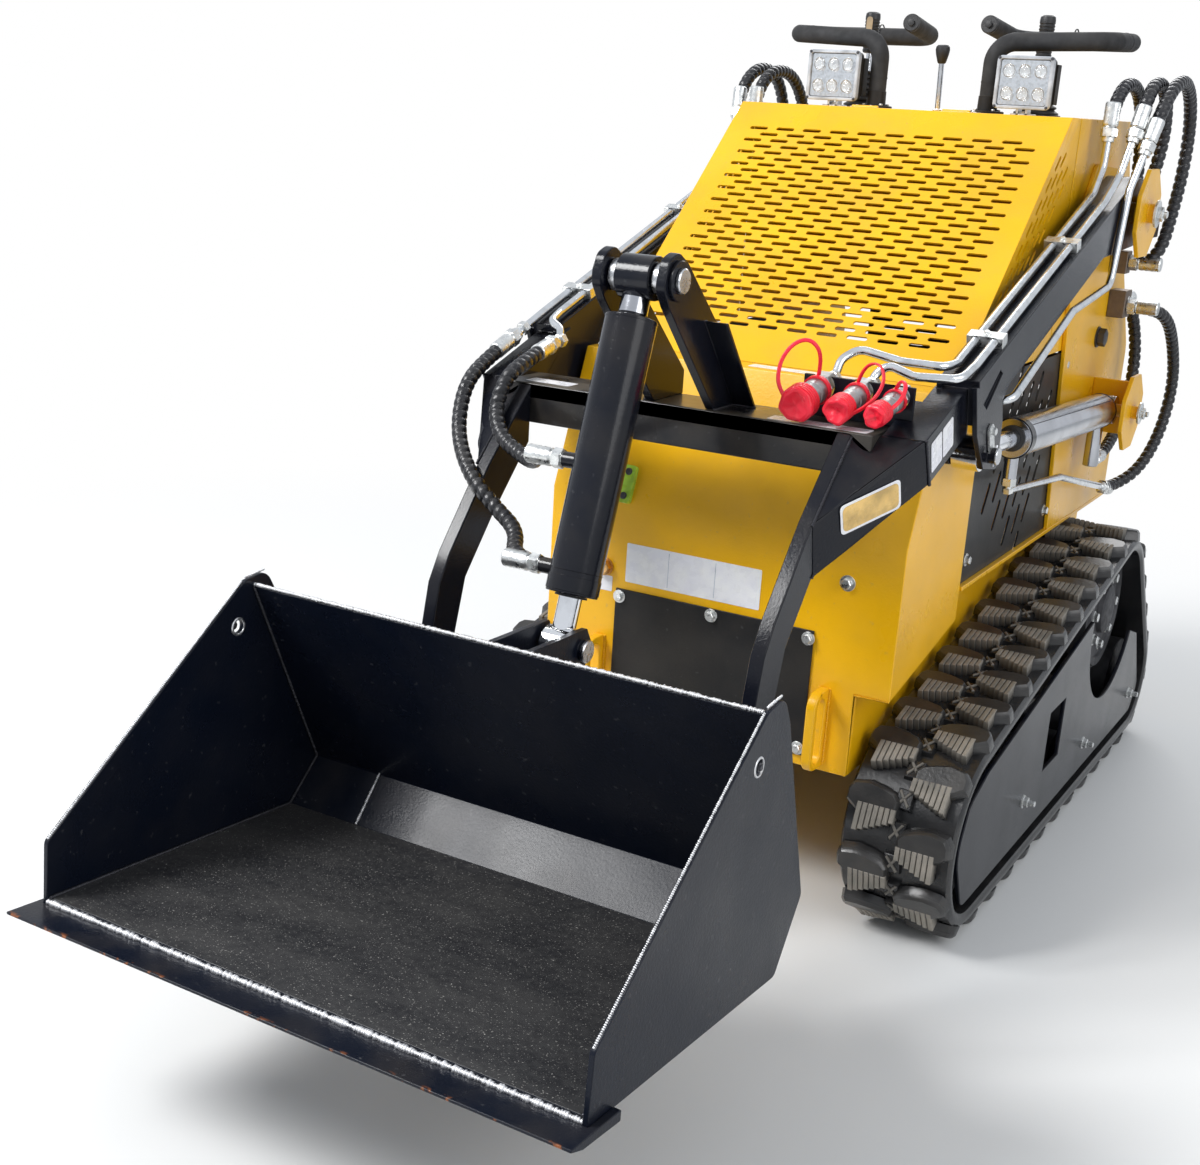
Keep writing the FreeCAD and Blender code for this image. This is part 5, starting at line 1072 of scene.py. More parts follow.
bright_weld = metal("weld_bead", (0.74, 0.74, 0.75), shine=0.24, spread=0.35, coarse=220)
inner_x = 386
edge_joint = [(-inner_x, -1253, 272.5), (inner_x, -1253, 272.5)]
weld("floor_weld", [edge_joint], "bucket", bright_weld, 5.0, 3.4, uneven=0.36)
side_runs = []
for side in (-1, 1):
    line = [(side * (inner_x - 0.5), y, z) for y, z in inside]
    side_runs += [line[:2], line[1:3], line[2:]]
weld("bucket_side_welds", side_runs, "bucket", seam_black, 3.4)
rim_runs = both_runs([[(390, -1246, 356), (390, -897, 606)], [(390, -889, 611), (390, -852, 614)]])
weld("bucket_rim_welds", rim_runs, "bucket", bright_weld, 2.0)
back_top = [(-inner_x, -874, 598), (inner_x, -874, 598)]
weld("bucket_lip_weld", [back_top], "bucket", bright_weld, 3.0, uneven=0.30)
weld("strip_weld", [[(-262, -803, 248), (-268, -742, 304)]], "bucket", bright_weld, 2.6, uneven=0.30)
ear_runs = [[(side * x, -746, 330), (side * x, -796, 440)] for side in (-1, 1) for x in (230, 246, 273, 289)]
weld("ear_welds", ear_runs, "bucket", seam_black, 3.0)
plug = turned([(0, 10.5), (2, 10.5), (2.5, 7), (6, 6.6), (7, 5.2)], 18)
hole_y, hole_z = -907, 545
side_holes = both_sides([((394, hole_y, hole_z), to_left)])
fittings("bucket_plugs", plug, [(*spot, 0.55) for spot in side_holes], dark_steel, "bucket", "zinc")
collar = lathe([(-0.6, 10.0), (0.9, 10.2), (0.9, 12.2), (-0.6, 13.2)], 32)
inner_holes = [((386.4, hole_y, hole_z), to_right), ((-386.4, hole_y, hole_z), to_left)]
fittings("bucket_hole_collars", collar, side_holes + inner_holes, bright_weld, "bucket", "zinc")
pin_cap = turned([(0, 15), (1.5, 16.5), (5, 16.5), (6.5, 15)], 32)
ground_steel = metal("ground_steel", (0.60, 0.61, 0.63), shine=0.18, spread=0.2, coarse=60)
caps = both_sides([((291, -655, 318), to_left), ((39, -698, 549), to_left, 0.95)])
fittings("bucket_pin_ends", pin_cap, caps, ground_steel, "bucket", "zinc")

# ------------------------------------------------------------------ hydraulic cylinders
# Tube barrels, painted on the tilt cylinder and bare steel on the lift cylinders, have a welded eye at one
# end and a screwed gland at the other, where the hard chromed rod comes out. Keeper plates with a bolt hold
# the pins.
plastic_black = rubber("black_plastic", (0.014, 0.014, 0.015), shine=0.42, dusty=0.25)
# the navy tint in this near-black colour is a painted reflection of blue sky on the gloss
gloss_black = paint("cylinder_paint", (0.0060, 0.0075, 0.0130), shine=0.09, coat=0.25, dusty=0.25,
                    film=0.04, scuffs=0.2)
barrel_steel = metal("barrel_steel", (0.50, 0.51, 0.54), shine=0.15, spread=0.12, coarse=10)
chrome = metal("chrome_rod", (0.86, 0.87, 0.89), shine=0.05, spread=0.06, coarse=30)
dressed("tilt_cylinder_barrel", gloss_black, 1.6, 3)
dressed("tilt_cylinder_rod", chrome, 1.0, 2)


def along_line(start, end, distance):
    """The point at a distance in mm from start towards end, and the way there."""
    way = (Vector(end) - Vector(start)).normalized()
    return Vector(start) + way * distance, way


def bands(name, start, end, rings, material, body, slot="black_paint"):
    """Raised rings round a cylinder: each (distance from start, radius, width, height) in mm."""
    meshes = []
    for distance, radius, width, height in rings:
        spot, way = along_line(start, end, distance)
        ring = lathe([(0, radius), (0.6, radius + height), (width - 0.6, radius + height),
                      (width, radius)], 48)
        ring.transform(Matrix.Translation(spot / 1000) @ way.to_track_quat("Z", "Y").to_matrix().to_4x4())
        meshes.append(ring)
    return place(name, smooth(welded(*meshes), 30), material, body, slot)


tilt_y, tilt_z = -537, 1029
tilt_pin, tilt_hook = (0, tilt_y, tilt_z), (0, -698, 549)
tilt_rings = [(58, 35.6, 3, 0.9), (404, 35.6, 1.6, 1.1), (412, 35.6, 21, 1.3)]
bands("tilt_barrel_bands", tilt_pin, tilt_hook, tilt_rings, gloss_black, "tilt_barrel")
bands("tilt_wiper", tilt_pin, tilt_hook, [(436.4, 16.3, 4, 6)], plastic_black, "tilt_barrel", "black_plastic")
bands("tilt_neck", tilt_pin, tilt_hook, [(29, 17.5, 22, 2.4)], barrel_steel, "tilt_barrel", "zinc")
washers = turned([(0, 29), (1, 30), (4.5, 30), (5.5, 29)], 40)
fittings("tilt_washers", washers, both_sides([((56.2, tilt_y, tilt_z), to_left, 0.9)]), black, "lift_arm",
         "black_paint")
fittings("tilt_pin_ends", pin_cap, both_sides([((60.6, tilt_y, tilt_z), to_left, 1.05)]), ground_steel,
         "lift_arm", "zinc")
bush = turned([(0, 21), (1, 22), (11, 22), (12, 21)], 36)
fittings("tilt_bushes", bush, both_sides([((27.5, tilt_y, tilt_z), to_left)]), ground_steel, "lift_arm",
         "zinc")
lift_y, lift_z = -122, 780
for hand, side in hands.items():
    dressed(f"lift_cylinder_barrel_{hand}", barrel_steel, 1.6, 3)
    dressed(f"lift_cylinder_rod_{hand}", chrome, 1.0, 2)
    rear, front = (side * arm_x, 715, 737), (side * arm_x, lift_y, lift_z)
    bands(f"lift_gland_{hand}", rear, front, [(596, 31.6, 23, 2.0), (46, 31.6, 4, 1.2)], gloss_black,
          f"lift_barrel_{hand}")
    bands(f"lift_wiper_{hand}", rear, front, [(619.2, 15.3, 4, 6)], plastic_black, f"lift_barrel_{hand}",
          "black_plastic")
    seam_ends = [along_line(rear, front, at)[0] + Vector((side * 22.5, 0, 22.8)) for at in (60, 590)]
    weld(f"barrel_seam_{hand}", [seam_ends], f"lift_barrel_{hand}", dark_steel, 0.8)
    plate(f"pin_keeper_{hand}", (side * 381, -131, 803), (side, 0, 0), (0, -0.44, 0.9), 20, 56, zinc,
          "lift_arm", corner=8, thick=3, lift=0.4)
keepers = both_sides([((384.4, -139, 819), to_left, 0.8)])
fittings("keeper_bolts", cover_bolt, keepers, zinc, "lift_arm", "zinc")
pin_ring = turned([(0, 12.5), (1, 13.5), (2.4, 13.5), (3.4, 12.5)], 28)
fittings("lift_pin_ends", pin_ring, both_sides([((391.6, lift_y, lift_z), to_left)]), ground_steel,
         "lift_arm", "zinc")
split_pin = turned([(-16, 1.6), (-15, 1.9), (15, 1.9), (16, 1.6)], 10)
fittings("split_pins", split_pin, both_sides([((388.6, lift_y, lift_z), (0, 0.3, 1))]), ground_steel,
         "lift_arm", "zinc")

# ------------------------------------------------------------------ quick couplers
# Three hexagon couplers stand in an upright plate, each closed by a moulded red cap of its own size whose
# strap loops back to a ring round the coupler's neck.
dressed("coupler_plate", black, 1.2, 2)
coupler_grey = metal("coupler_steel", (0.46, 0.46, 0.46), shine=0.34, spread=0.25, coarse=60)
cap_red = rubber("red_cap", (0.80, 0.010, 0.028), shine=0.32, dusty=0.04)
coupler_lean = math.radians(10)
coupler_way = Vector((0, -math.cos(coupler_lean), -math.sin(coupler_lean)))
coupler_y, coupler_z = -300, 884
bodies, cap_meshes = [], []
neck_steps = [(27, 0.70), (34, 0.70), (35, 0.95), (60, 0.95), (61, 0.84), (64, 0.84), (65, 0.95), (80, 0.95),
              (84, 0.80)]


def stepped_ring(radius, steps):
    """A profile whose (height in mm, share of the radius) steps go with a radius."""
    return [(height, radius * share) for height, share in steps]


for index, (x, radius, cap) in enumerate(((186, 19, 26), (246, 17, 20), (302, 15, 17))):
    stand = (Matrix.Translation(Vector((x, coupler_y, coupler_z)) / 1000)
             @ coupler_way.to_track_quat("Z", "Y").to_matrix().to_4x4())
    nut = turned(stepped_ring(radius, [(0, 0.86), (1, 0.98), (26, 0.98), (27.5, 0.88)]), 6)
    neck = turned(stepped_ring(radius, neck_steps), 36)
    for mesh in (nut, neck):
        mesh.transform(stand)
        bodies.append(mesh)
    profile = [(83, 0.80), (84.5, 0.93)]
    for rib in (86.5, 92.5, 98.5, 104.5):
        profile += [(rib, 0.985), (rib + 3.0, 0.985), (rib + 3.8, 0.925), (rib + 5.2, 0.925)]
    profile += [(111.5, 0.97), (114.5, 0.93), (116.2, 0.84), (116.6, 0.70), (114.0, 0.52), (112.0, 0.30),
                (111.8, 0.05)]
    shell = turned(stepped_ring(cap, profile), 48)
    for vertex in shell.vertices:
        # the cap's closed end is crumpled
        swirl = math.atan2(vertex.co.y, vertex.co.x)
        folded = max(0.0, (vertex.co.z - 0.105) / 0.012)
        waves = 0.10 * math.sin(3 * swirl + 2 * index) + 0.05 * math.sin(7 * swirl + index)
        sag = 1 - folded * waves
        vertex.co.x *= sag
        vertex.co.y *= sag
        vertex.co.z -= 0.0022 * folded * (1 + math.sin(2 * swirl + 2 * index))
    shell.transform(stand)
    cap_meshes.append(shell)
place("coupler_bodies", welded(*bodies), coupler_grey, "lift_arm", "zinc", ("quick_couplers",))
place("coupler_cap_shells", welded(*cap_meshes), cap_red, "lift_arm", "red_rubber", ("coupler_caps",))

# a strap is a thin cord along its route
strapped, given, output = plan("strap", Width=float, Thickness=float, Material=bpy.types.Material)
run_line = add(strapped, "GeometryNodeMeshToCurve", Mesh=given.outputs["Geometry"])
section = add(strapped, "GeometryNodeCurvePrimitiveQuadrilateral", Width=given.outputs["Width"],
              Height=given.outputs["Thickness"])
soft_section = add(strapped, "GeometryNodeFilletCurve", mode="POLY", Curve=section.outputs[0], Count=3,
                   Radius=calc(strapped, "MULTIPLY", given.outputs["Thickness"], 0.45))
strap = add(strapped, "GeometryNodeCurveToMesh", Curve=run_line.outputs[0],
            Profile_Curve=soft_section.outputs[0], Fill_Caps=True)
close_tree(strapped, given, output, strap.outputs[0])
strap_ring = lathe([(0, 18.4), (0, 21.5), (7, 21.5), (7, 18.4)], 40)
rings = []
straps = []
for x, ring_size, points in (
        (186, 1.0, [(186, -337, 899), (189, -340, 918), (185, -344, 938), (171, -350, 949), (153, -357, 942),
                    (141, -366, 922), (141, -377, 900), (150, -391, 884), (163, -401, 875)]),
        (246, 0.9, [(246, -337, 897), (251, -340, 912), (263, -342, 925), (279, -346, 926), (290, -354, 910),
                    (289, -366, 890), (279, -381, 873), (265, -396, 862), (254, -407, 857)]),
        (302, 0.8, [(302, -337, 895), (306, -341, 903), (314, -347, 908), (322, -355, 903), (324, -368, 889),
                    (318, -384, 876), (309, -398, 868)])):
    rings.append((Vector((x, coupler_y, coupler_z)) + coupler_way * 36, coupler_way, ring_size))
    straps.append(grown(strapped, route(points), Width=0.0058, Thickness=0.0034, Material=cap_red))
fittings("cap_rings", strap_ring, rings, cap_red, "lift_arm", "red_rubber")
place("cap_straps", smooth(welded(*straps), 50), cap_red, "lift_arm", "red_rubber")

# ------------------------------------------------------------------ work lights
# Each light is a die-cast finned housing with a rounded bezel round a silver reflector of six lenses. It
# stands on a zinc foot bolted to the cowl's top.
reflector = metal("reflector", (0.80, 0.82, 0.84), shine=0.16, spread=0.1, coarse=200)
clear, tree, shader = finish("lens", 0.04, coat=0.5)
shader.inputs["Base Color"].default_value = (0.90, 0.92, 0.94, 1)
shader.inputs["Transmission Weight"].default_value = 0.85
relief(tree, shader, mottle(tree, 700, 1, 0.3, 0.7), 0.0006, 0.5)
bezel_grey = rubber("lamp_bezel", (0.34, 0.36, 0.39), shine=0.16, dusty=0.06)
housing_black = paint("lamp_housing", (0.012, 0.012, 0.013), shine=0.42, coat=0.05, dusty=0.5,
                      film=0.15, scuffs=0.2)


def slab(x0, x1, y0, y1, z0, z1, corner=3.0, steps=4):
    """A block in mm with its edges along Y rounded, as a mesh."""
    outline = rounded(x0, x1, z0, z1, corner, steps)
    return skinned("slab", [[(x, y, z) for x, z in outline] for y in (y1, y0)])


def frame_ring(x0, x1, y0, y1, z0, z1, width):
    """A rounded rectangular frame of a width, from y0 to y1, with a raised lip; sizes in mm."""
    corner, steps = 9.0, 6
    rings = []
    for y, grow in ((y0 + 1.2, 0), (y0, -1.4), (y0, -width + 1.0), (y0 + 1.2, -width), (y1, -width), (y1, 0)):
        outline = rounded(x0 - grow, x1 + grow, z0 - grow, z1 + grow, max(0.8, corner + grow), steps)
        rings.append([(x, y, z) for x, z in outline])
    return skinned("bezel", rings, capped=False)


def dome(radius, high, sides=28):
    """A shallow lens standing on Z, sizes in mm."""
    rings = 5
    turns = [math.pi / 2 * i / rings for i in range(rings)]
    steps = [(high * math.sin(turn), radius * math.cos(turn)) for turn in turns]
    return turned([(-2, radius)] + steps + [(high, 0.8)], sides)


lamp_low, lamp_high, lamp_half, lamp_x, lamp_z = 1274, 1363, 50, 179, 1318.5
bowl = lathe([(0, 13.2), (1.4, 13.0), (1.4, 11.6), (0.2, 9.4), (0.1, 9.2), (0.0, 10)], 32)
fin_pitch = 8.4
for hand, side in hands.items():
    x0, x1 = side * lamp_x - lamp_half, side * lamp_x + lamp_half
    fins = [slab(x, x + 3, 506, 527, lamp_low + 10, lamp_high - 12, 1.4, 2)
            for x in (x0 + 5 + index * fin_pitch for index in range(12))]
    shell = welded(slab(x0 + 2, x1 - 2, 484, 507, lamp_low + 3, lamp_high - 3, 8), *fins)
    foot = welded(slab(x0 + 30, x1 - 30, 492, 514, cowl_top, cowl_top + 3, 1),
                  slab(x0 + 40, x0 + 44, 492, 514, cowl_top, cowl_top + 15, 1),
                  slab(x1 - 44, x1 - 40, 492, 514, cowl_top, cowl_top + 15, 1))
    place(f"lamp_shell_{hand}", smooth(shell, 34), housing_black, "chassis", "black_paint",
          ("work_lights",) if side > 0 else ())
    place(f"lamp_foot_{hand}", smooth(foot, 34), zinc, "chassis", "zinc")
    bezel = frame_ring(x0, x1, 478, 490, lamp_low, lamp_high, 6)
    place(f"lamp_bezel_{hand}", smooth(bezel, 34), bezel_grey, "chassis", "zinc")
    face = slab(x0 + 7, x1 - 7, 482.4, 484.5, lamp_low + 7, lamp_high - 7, 4)
    place(f"lamp_face_{hand}", face, reflector, "chassis", "zinc")
    spots = [((side * lamp_x + dx, 482.4, lamp_z + dz), to_front) for dx in (-28, 0, 28) for dz in (-19, 19)]
    fittings(f"lamp_bowls_{hand}", bowl, spots, reflector, "chassis", "zinc")
    fittings(f"lamp_lenses_{hand}", dome(12.4, 3.4), spots, clear, "chassis", "lamp")
    screws = [((side * lamp_x + dx, 478, lamp_z + dz), to_front, 0.42)
              for dx in (-46, 46) for dz in (-40.5, 40.5)]
    fittings(f"lamp_screws_{hand}", small_bolt, screws, dark_steel, "chassis", "zinc")
foot_bolts = both_sides([((lamp_x, 503, cowl_top + 3), to_top, 0.9)])
fittings("lamp_bolts", small_bolt, foot_bolts, zinc, "chassis", "zinc")

# ------------------------------------------------------------------ grab handles
# Bent steel tubes are sleeved in charcoal foam, and stand in bolted flanges on the cowl. Black plugs close
# their ends, and glued seams ring the foam.
foam = rubber("black_foam", (0.019, 0.019, 0.020), shine=0.80, dusty=0.30)
place("grab_handles_foam", eased("grab_handles", 2.6, 3, 40), foam, "chassis", "black_foam",
      ("grab_handles",))
flange = turned([(0, 30), (4, 30), (5, 28.5), (5.2, 17.8), (30, 17.2), (31, 16)], 40)
handle_x, handle_y, tip = 106, 525, Vector((74, 582, 1418))
handle_feet = both_sides([((handle_x, handle_y, cowl_top), to_top)])
fittings("handle_flanges", flange, handle_feet, satin_black, "chassis", "black_paint")
flange_ring = [(handle_x + 23 * math.cos(turn), handle_y + 23 * math.sin(turn))
               for turn in (0.8, 2.37, 3.94, 5.5)]
flange_bolts = both_sides([((x, y, cowl_top + 4), to_top, 0.8) for x, y in flange_ring])
fittings("flange_bolts", small_bolt, flange_bolts, zinc, "chassis", "zinc")
tip_way = (tip - Vector((82, 735, 1406))).normalized()
plug_end = turned([(-4, 15.5), (2, 16), (3.5, 14), (3.6, 6.2), (7.5, 6), (8, 4.5)], 28)
fittings("handle_plugs", plug_end, both_sides([(tip, tip_way)]), plastic_black, "chassis", "black_plastic")
ring_seam = lathe([(-1.2, 15.4), (-1.2, 16.5), (1.2, 16.5), (1.2, 15.4)], 40)
seams = both_sides([((handle_x, handle_y, 1318), to_top), ((301, 652, 1397), (0, 1, 0.05)),
                    ((191, 735, 1406), to_left)])
fittings("foam_seams", ring_seam, seams, foam, "chassis", "black_foam")

# ------------------------------------------------------------------ levers and boots
# Two drive levers rise out of ribbed rubber boots, with moulded grips, one of them with a tan inlay. A thin
# chromed lever with a tapered black knob between them raises the arm.
chrome_bar = metal("chrome_bar", (0.84, 0.85, 0.87), shine=0.08, spread=0.1, coarse=50)
grip_tan = rubber("grip_tan", (0.30, 0.22, 0.13), shine=0.5, dusty=0.15)
bellows = []
for index in range(6):
    low, radius = 2 + index * 10.2, 40 - index * 4.6
    bellows += [(low, radius - 3.4), (low + 2.4, radius), (low + 5.0, radius), (low + 8.0, radius - 5.2)]
boot_foot, boot_neck = [(0.3, 44), (3, 44), (3.6, 42)], [(66, 14.6), (68, 12), (68, 6.4), (0.3, 6.4)]
boot = lathe(boot_foot + bellows + boot_neck, 44)
stick_feet = both_sides([((167, 622, cowl_top), to_top)])
boots = fittings("lever_boots_ribbed", boot, stick_feet, plastic_black, "chassis", "black_plastic")
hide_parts("lever_boots")
stick = turned([(66, 6), (106, 6)], 20)
fittings("lever_shafts", stick, stick_feet, chrome_bar, "chassis", "chrome")
grooves = [(107 + 5.5 * i + along, 14.0 - cut)
           for i in range(10) for along, cut in ((0, 0), (1.2, 1.0), (2.4, 1.0), (3.6, 0))]
grip = lathe([(100, 9), (101.5, 12.8), (104.5, 14.0)] + grooves
             + [(166, 14.0), (171.5, 13.0), (174.0, 9.0), (174.2, 0.6), (100, 0.6)], 40)
grips = fittings("lever_grips", grip, stick_feet, plastic_black, "chassis", "black_plastic")
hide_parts("drive_levers")
plate("grip_side", (-167, 607.9, 1404), to_front, to_top, 12, 50, grip_tan, "chassis", corner=5,
      thick=1.2, slot="black_plastic")
knob_lean = math.radians(4)
knob_way = (0, -math.sin(knob_lean), math.cos(knob_lean))
shaft_mesh = turned([(0.6, 8.5), (4, 8.5), (5, 5), (94, 5)], 20)
knob_mesh = turned([(84, 6), (86, 7.8), (100, 11.8), (108, 13), (113, 12.2), (116.2, 9), (117, 3)], 32)
lift_lever = [((0, 565, cowl_top), knob_way)]
fittings("lift_lever_shaft", shaft_mesh, lift_lever, chrome_bar, "chassis", "chrome")
knob = fittings("lift_lever_knob", knob_mesh, lift_lever, plastic_black, "chassis", "black_plastic")
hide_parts("lift_lever")

# ------------------------------------------------------------------ cowl and control panel
# The fixed cowl carries the controls. Its sloped rear holds a black panel with a key switch, a throttle, an
# hour gauge, three rocker switches and four warning lamps, all without lettering. Zinc plates hinge the hood
# to its front edge.
dressed("rear_cowl", yellow, 1.6)
dressed("control_panel", satin_black, 1.2)
dash_top, dash_low = Vector((0, 776, cowl_top)), Vector((0, 850, 1130))
dash_down = (dash_low - dash_top).normalized()
dash_out = Vector((0, -dash_down.z, dash_down.y))


def on_dash(x, down, lift=5.3):
    """A point on the control panel: across, and down from the panel's top, in mm."""
    return dash_top + Vector((x, 0, 0)) + dash_down * down + dash_out * lift


gauge_x, dash_row = -95, 76
gauge_spot = [(on_dash(gauge_x, dash_row), dash_out)]
bezel = lathe([(0, 30), (5, 30), (6.5, 28.5), (6.5, 25), (3, 24), (0.4, 24), (0, 24)], 56)
fittings("gauge_bezel", bezel, gauge_spot, chrome_bar, "chassis", "chrome")
dial_grey = rubber("dial_face", (0.62, 0.63, 0.62), shine=0.3, dusty=0.05)
fittings("gauge_face", turned([(0, 24.5), (2.8, 24.5)], 48), gauge_spot, dial_grey, "chassis",
         "black_plastic")
tick_ring = 18.5
ticks = []
for index in range(11):
    turn = math.radians(150 + 24 * index)
    tick = on_dash(gauge_x + tick_ring * math.cos(turn), dash_row + tick_ring * math.sin(turn), 8.1)
    ticks.append((tick, dash_out, 0.4))
fittings("gauge_ticks", turned([(0, 2.6), (0.4, 2.6)], 12), ticks, plastic_black, "chassis", "black_plastic")
fittings("gauge_glass", dome(24, 2.2, 48), [(on_dash(gauge_x, dash_row, 10.2), dash_out)], clear,
         "chassis", "lamp")
key_body = turned([(0, 17), (3, 17), (4, 12.5), (10, 12.5), (11, 10.5)], 36)
fittings("key_switch", key_body, [(on_dash(102, dash_row), dash_out)], chrome_bar, "chassis", "chrome")
plate("key_bow", on_dash(102, dash_row, 16), to_left, dash_out, 26, 22, plastic_black, "chassis",
      corner=9, thick=4, slot="black_plastic", lift=-2)
throttle = turned([(0, 12), (4, 12), (5, 5), (32, 5), (34, 13), (44, 15.5), (50, 13), (52, 6)], 32)
fittings("throttle_knob", throttle, [(on_dash(170, dash_row), dash_out, 0.9)], plastic_black, "chassis",
         "black_plastic")
lamp_rings = [(on_dash(x, 60), dash_out, 0.5) for x in (-30, 0, 30, 60)]
fittings("tell_tale_rings", key_body, lamp_rings, chrome_bar, "chassis", "chrome")
tell_tales = [(spot + dash_out * 4.6, way) for spot, way, size in lamp_rings]
fittings("tell_tales", dome(5.0, 2.4, 20), tell_tales, red_ink, "chassis", "lamp")
rocker = slab(-11, 11, -4, 0, -17, 17, 3)
rocker.transform(Matrix.Rotation(math.radians(90), 4, "X"))
rocker_spots = [(on_dash(x, 100, 7.0), dash_out) for x in (-22, 12, 46)]
fittings("rocker_switches", rocker, rocker_spots, plastic_black, "chassis", "black_plastic")
panel_screws = [(on_dash(side * 226, down), dash_out, 0.8) for side in (-1, 1) for down in (20, 132)]
fittings("panel_screws", small_bolt, panel_screws, zinc, "chassis", "zinc")
plate("panel_label", on_dash(-190, dash_row), dash_out, -dash_down, 52, 62, white_label, "chassis", corner=3)
hinge_xs, hinge_y = (-96, 96), 441
for index, x in enumerate(hinge_xs):
    plate(f"hood_hinge_plate_{index}", (x, hinge_y, cowl_top), to_top, to_rear, 44, 26, zinc,
          "chassis", corner=2, thick=1.6)
hinge_screws = [((x + dx, hinge_y, cowl_top + 1.6), to_top, 0.6) for x in hinge_xs for dx in (-13, 13)]
fittings("hinge_screws", small_bolt, hinge_screws, zinc, "chassis", "zinc")

# ------------------------------------------------------------------ thigh pad
# A foam pad covered in black vinyl is bolted across the cowl's rear. Its cover is cut in five channels, with
# stitched seams between them and welting round its edge.
vinyl, tree, shader = finish("pad_vinyl", 0.36, coat=0.15)
grain = mottle(tree, 320, 6, 0.35, 0.65)
vinyl_tone = between(tree, mottle(tree, 8, 4), (0.013, 0.013, 0.014), (0.024, 0.023, 0.022))
tree.links.new(vinyl_tone, shader.inputs["Base Color"])
tree.links.new(number(tree, grain, 0.30, 0.48), shader.inputs["Roughness"])
relief(tree, shader, grain, 0.0006, 0.6)
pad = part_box("thigh_pad")
low, high = (corner * 1000 for corner in pad)
half_wide, half_high = (high.x - low.x) / 2 - 2, (high.z - low.z) / 2 - 2
pad_mid = (low + high) / 2
across_count, up_count = 140, 56
seams = [-0.6, -0.2, 0.2, 0.6]


def to_rim(u, v):
    """The share of the pad's thickness that is left towards its rim, from 1 in the middle to 0."""
    return max(0.0, 1 - abs(u) ** 14) ** 0.4 * max(0.0, 1 - abs(v) ** 6) ** 0.42


def swell(v, from_seam):
    """The foam's thickness in mm: crowned, and drawn in at the seams."""
    drawn_in = math.exp(-(from_seam / 5.5) ** 2) * 10 + math.exp(-(from_seam / 20) ** 2) * 5
    return 34 - drawn_in + 3.0 * (1 - v * v)


corners = []
for row in range(up_count + 1):
    v = math.sin(math.pi * (row / up_count - 0.5))
    for column in range(across_count + 1):
        u = math.sin(math.pi * (column / across_count - 0.5))
        nearest = min(abs(u - seam) for seam in seams) * half_wide
        pucker = math.exp(-(nearest / 14) ** 2) * 0.8 * math.sin(v * 46 + u * 9)
        thick = max(0.0, swell(v, nearest) + pucker) * to_rim(u, v)
        pull = 1 - 0.012 * math.exp(-(nearest / 16) ** 2) * abs(v) ** 4
        corners.append((pad_mid.x + u * half_wide, low.y + 4.5 + thick, pad_mid.z + v * half_high * pull))
wide = across_count + 1
faces = [(row * wide + i, (row + 1) * wide + i, (row + 1) * wide + i + 1, row * wide + i + 1)
         for row in range(up_count) for i in range(across_count)]
rim = list(range(wide)) + [row * wide + across_count for row in range(1, up_count + 1)]
rim += [up_count * wide + i for i in range(across_count - 1, -1, -1)]
rim += [row * wide for row in range(up_count - 1, 0, -1)]
first = len(corners)
corners += [(corners[i][0], low.y + 0.6, corners[i][2]) for i in rim]
for i in range(len(rim)):
    after = (i + 1) % len(rim)
    faces.append((rim[i], rim[after], first + after, first + i))
faces.append(tuple(first + i for i in range(len(rim))))
cushion = bpy.data.meshes.new("cushion")
cushion.from_pydata([Vector(corner) / 1000 for corner in corners], [], faces)
cover = place("thigh_pad_cover", smooth(cushion, 60), vinyl, "chassis", "black_foam", ("thigh_pad",))
left, right, bottom, top = low.x + 4, high.x - 4, low.z + 4, high.z - 4
welt_corners = [(x, low.y + 5.5, z)
                for x, z in ((left, bottom), (right, bottom), (right, top), (left, top), (left, bottom))]
welt_line = bpy.data.meshes.new("welt")
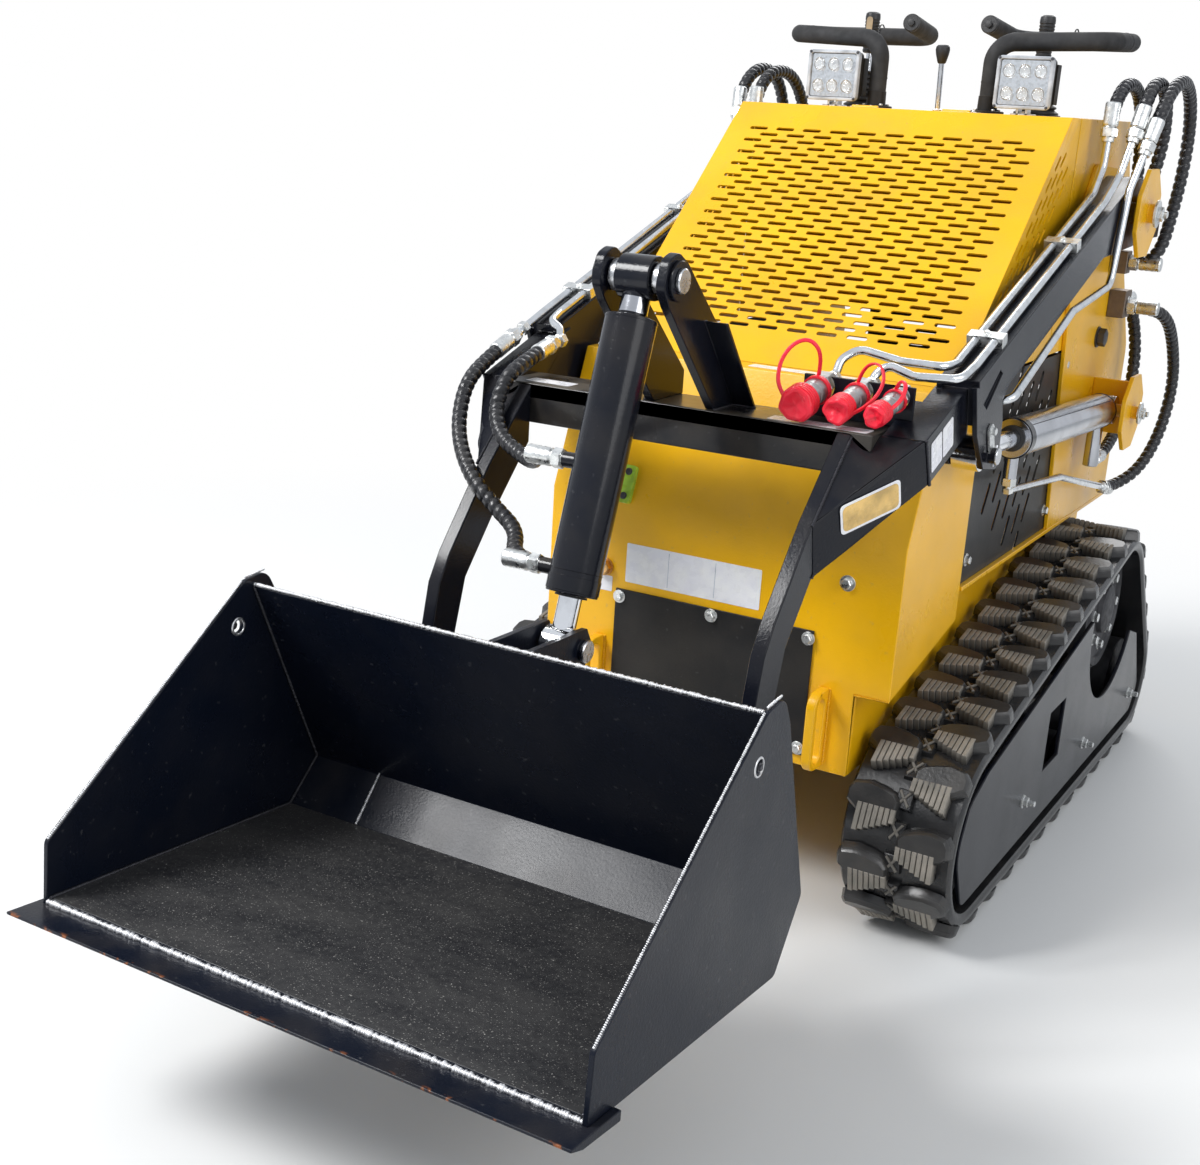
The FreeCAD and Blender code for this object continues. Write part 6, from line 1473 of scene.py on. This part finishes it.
welt_line.from_pydata([Vector(corner) / 1000 for corner in welt_corners], [(i, i + 1) for i in range(4)], [])
welt = grown(strapped, welt_line, Width=0.0048, Thickness=0.0048, Material=vinyl)
place("thigh_pad_welt", smooth(welt, 60), vinyl, "chassis", "black_foam")
thread = rubber("pad_thread", (0.10, 0.10, 0.10), shine=0.6, dusty=0.1)
stitch = turned([(-2.2, 0.3), (-1.6, 0.6), (1.6, 0.6), (2.2, 0.3)], 8)
stitches = []
stitch_gap, least_foam = 7, 12
for seam in seams:
    for side in (-1, 1):
        u = seam + side * stitch_gap / half_wide
        for index in range(-24, 25):
            v = index / 27
            depth = swell(v, stitch_gap) * to_rim(u, v)
            if depth > least_foam:
                spot = (pad_mid.x + u * half_wide, low.y + 4.7 + depth, pad_mid.z + v * half_high)
                stitches.append((spot, to_top))
fittings("pad_stitches", stitch, stitches, thread, "chassis", "black_foam")

# ------------------------------------------------------------------ operator's step
# The step is a folded steel plate on two arms from the chassis, with a pattern of raised lozenges pressed
# into its deck and grip holes along its rear edge.
step_black = paint("step_paint", (0.013, 0.013, 0.014), shine=0.45, coat=0.05, dusty=0.75,
                   film=0.45, scuffs=0.8)
step_cutter = slot_cutter(26, 12, 30)
step = punch_rows(eased("operator_platform", 1.0), step_cutter, 12, 1, 38, 40, (0, 1282, 259), (0, 0, 0))
place("operator_platform_skin", smooth(step, 30), step_black, "chassis", "black_paint",
      ("operator_platform",))
lozenge = turned([(-0.4, 10), (0.6, 8.6), (1.3, 6)], 4)
lozenge.transform(Matrix.Diagonal((1.25, 0.30, 1, 1)))
tread_pitch = 22
for hand, side in hands.items():
    # half of the lozenges lean one way and half the other, turn about
    leaning = lozenge.copy()
    leaning.transform(Matrix.Rotation(math.radians(45 * side), 4, "Z"))
    spots = [((x * tread_pitch - 231, 1082 + y * tread_pitch, 262), to_top)
             for x in range(22) for y in range(9) if (x + y) % 2 == (side > 0)]
    fittings(f"step_tread_{hand}", leaning, spots, step_black, "chassis", "black_paint")
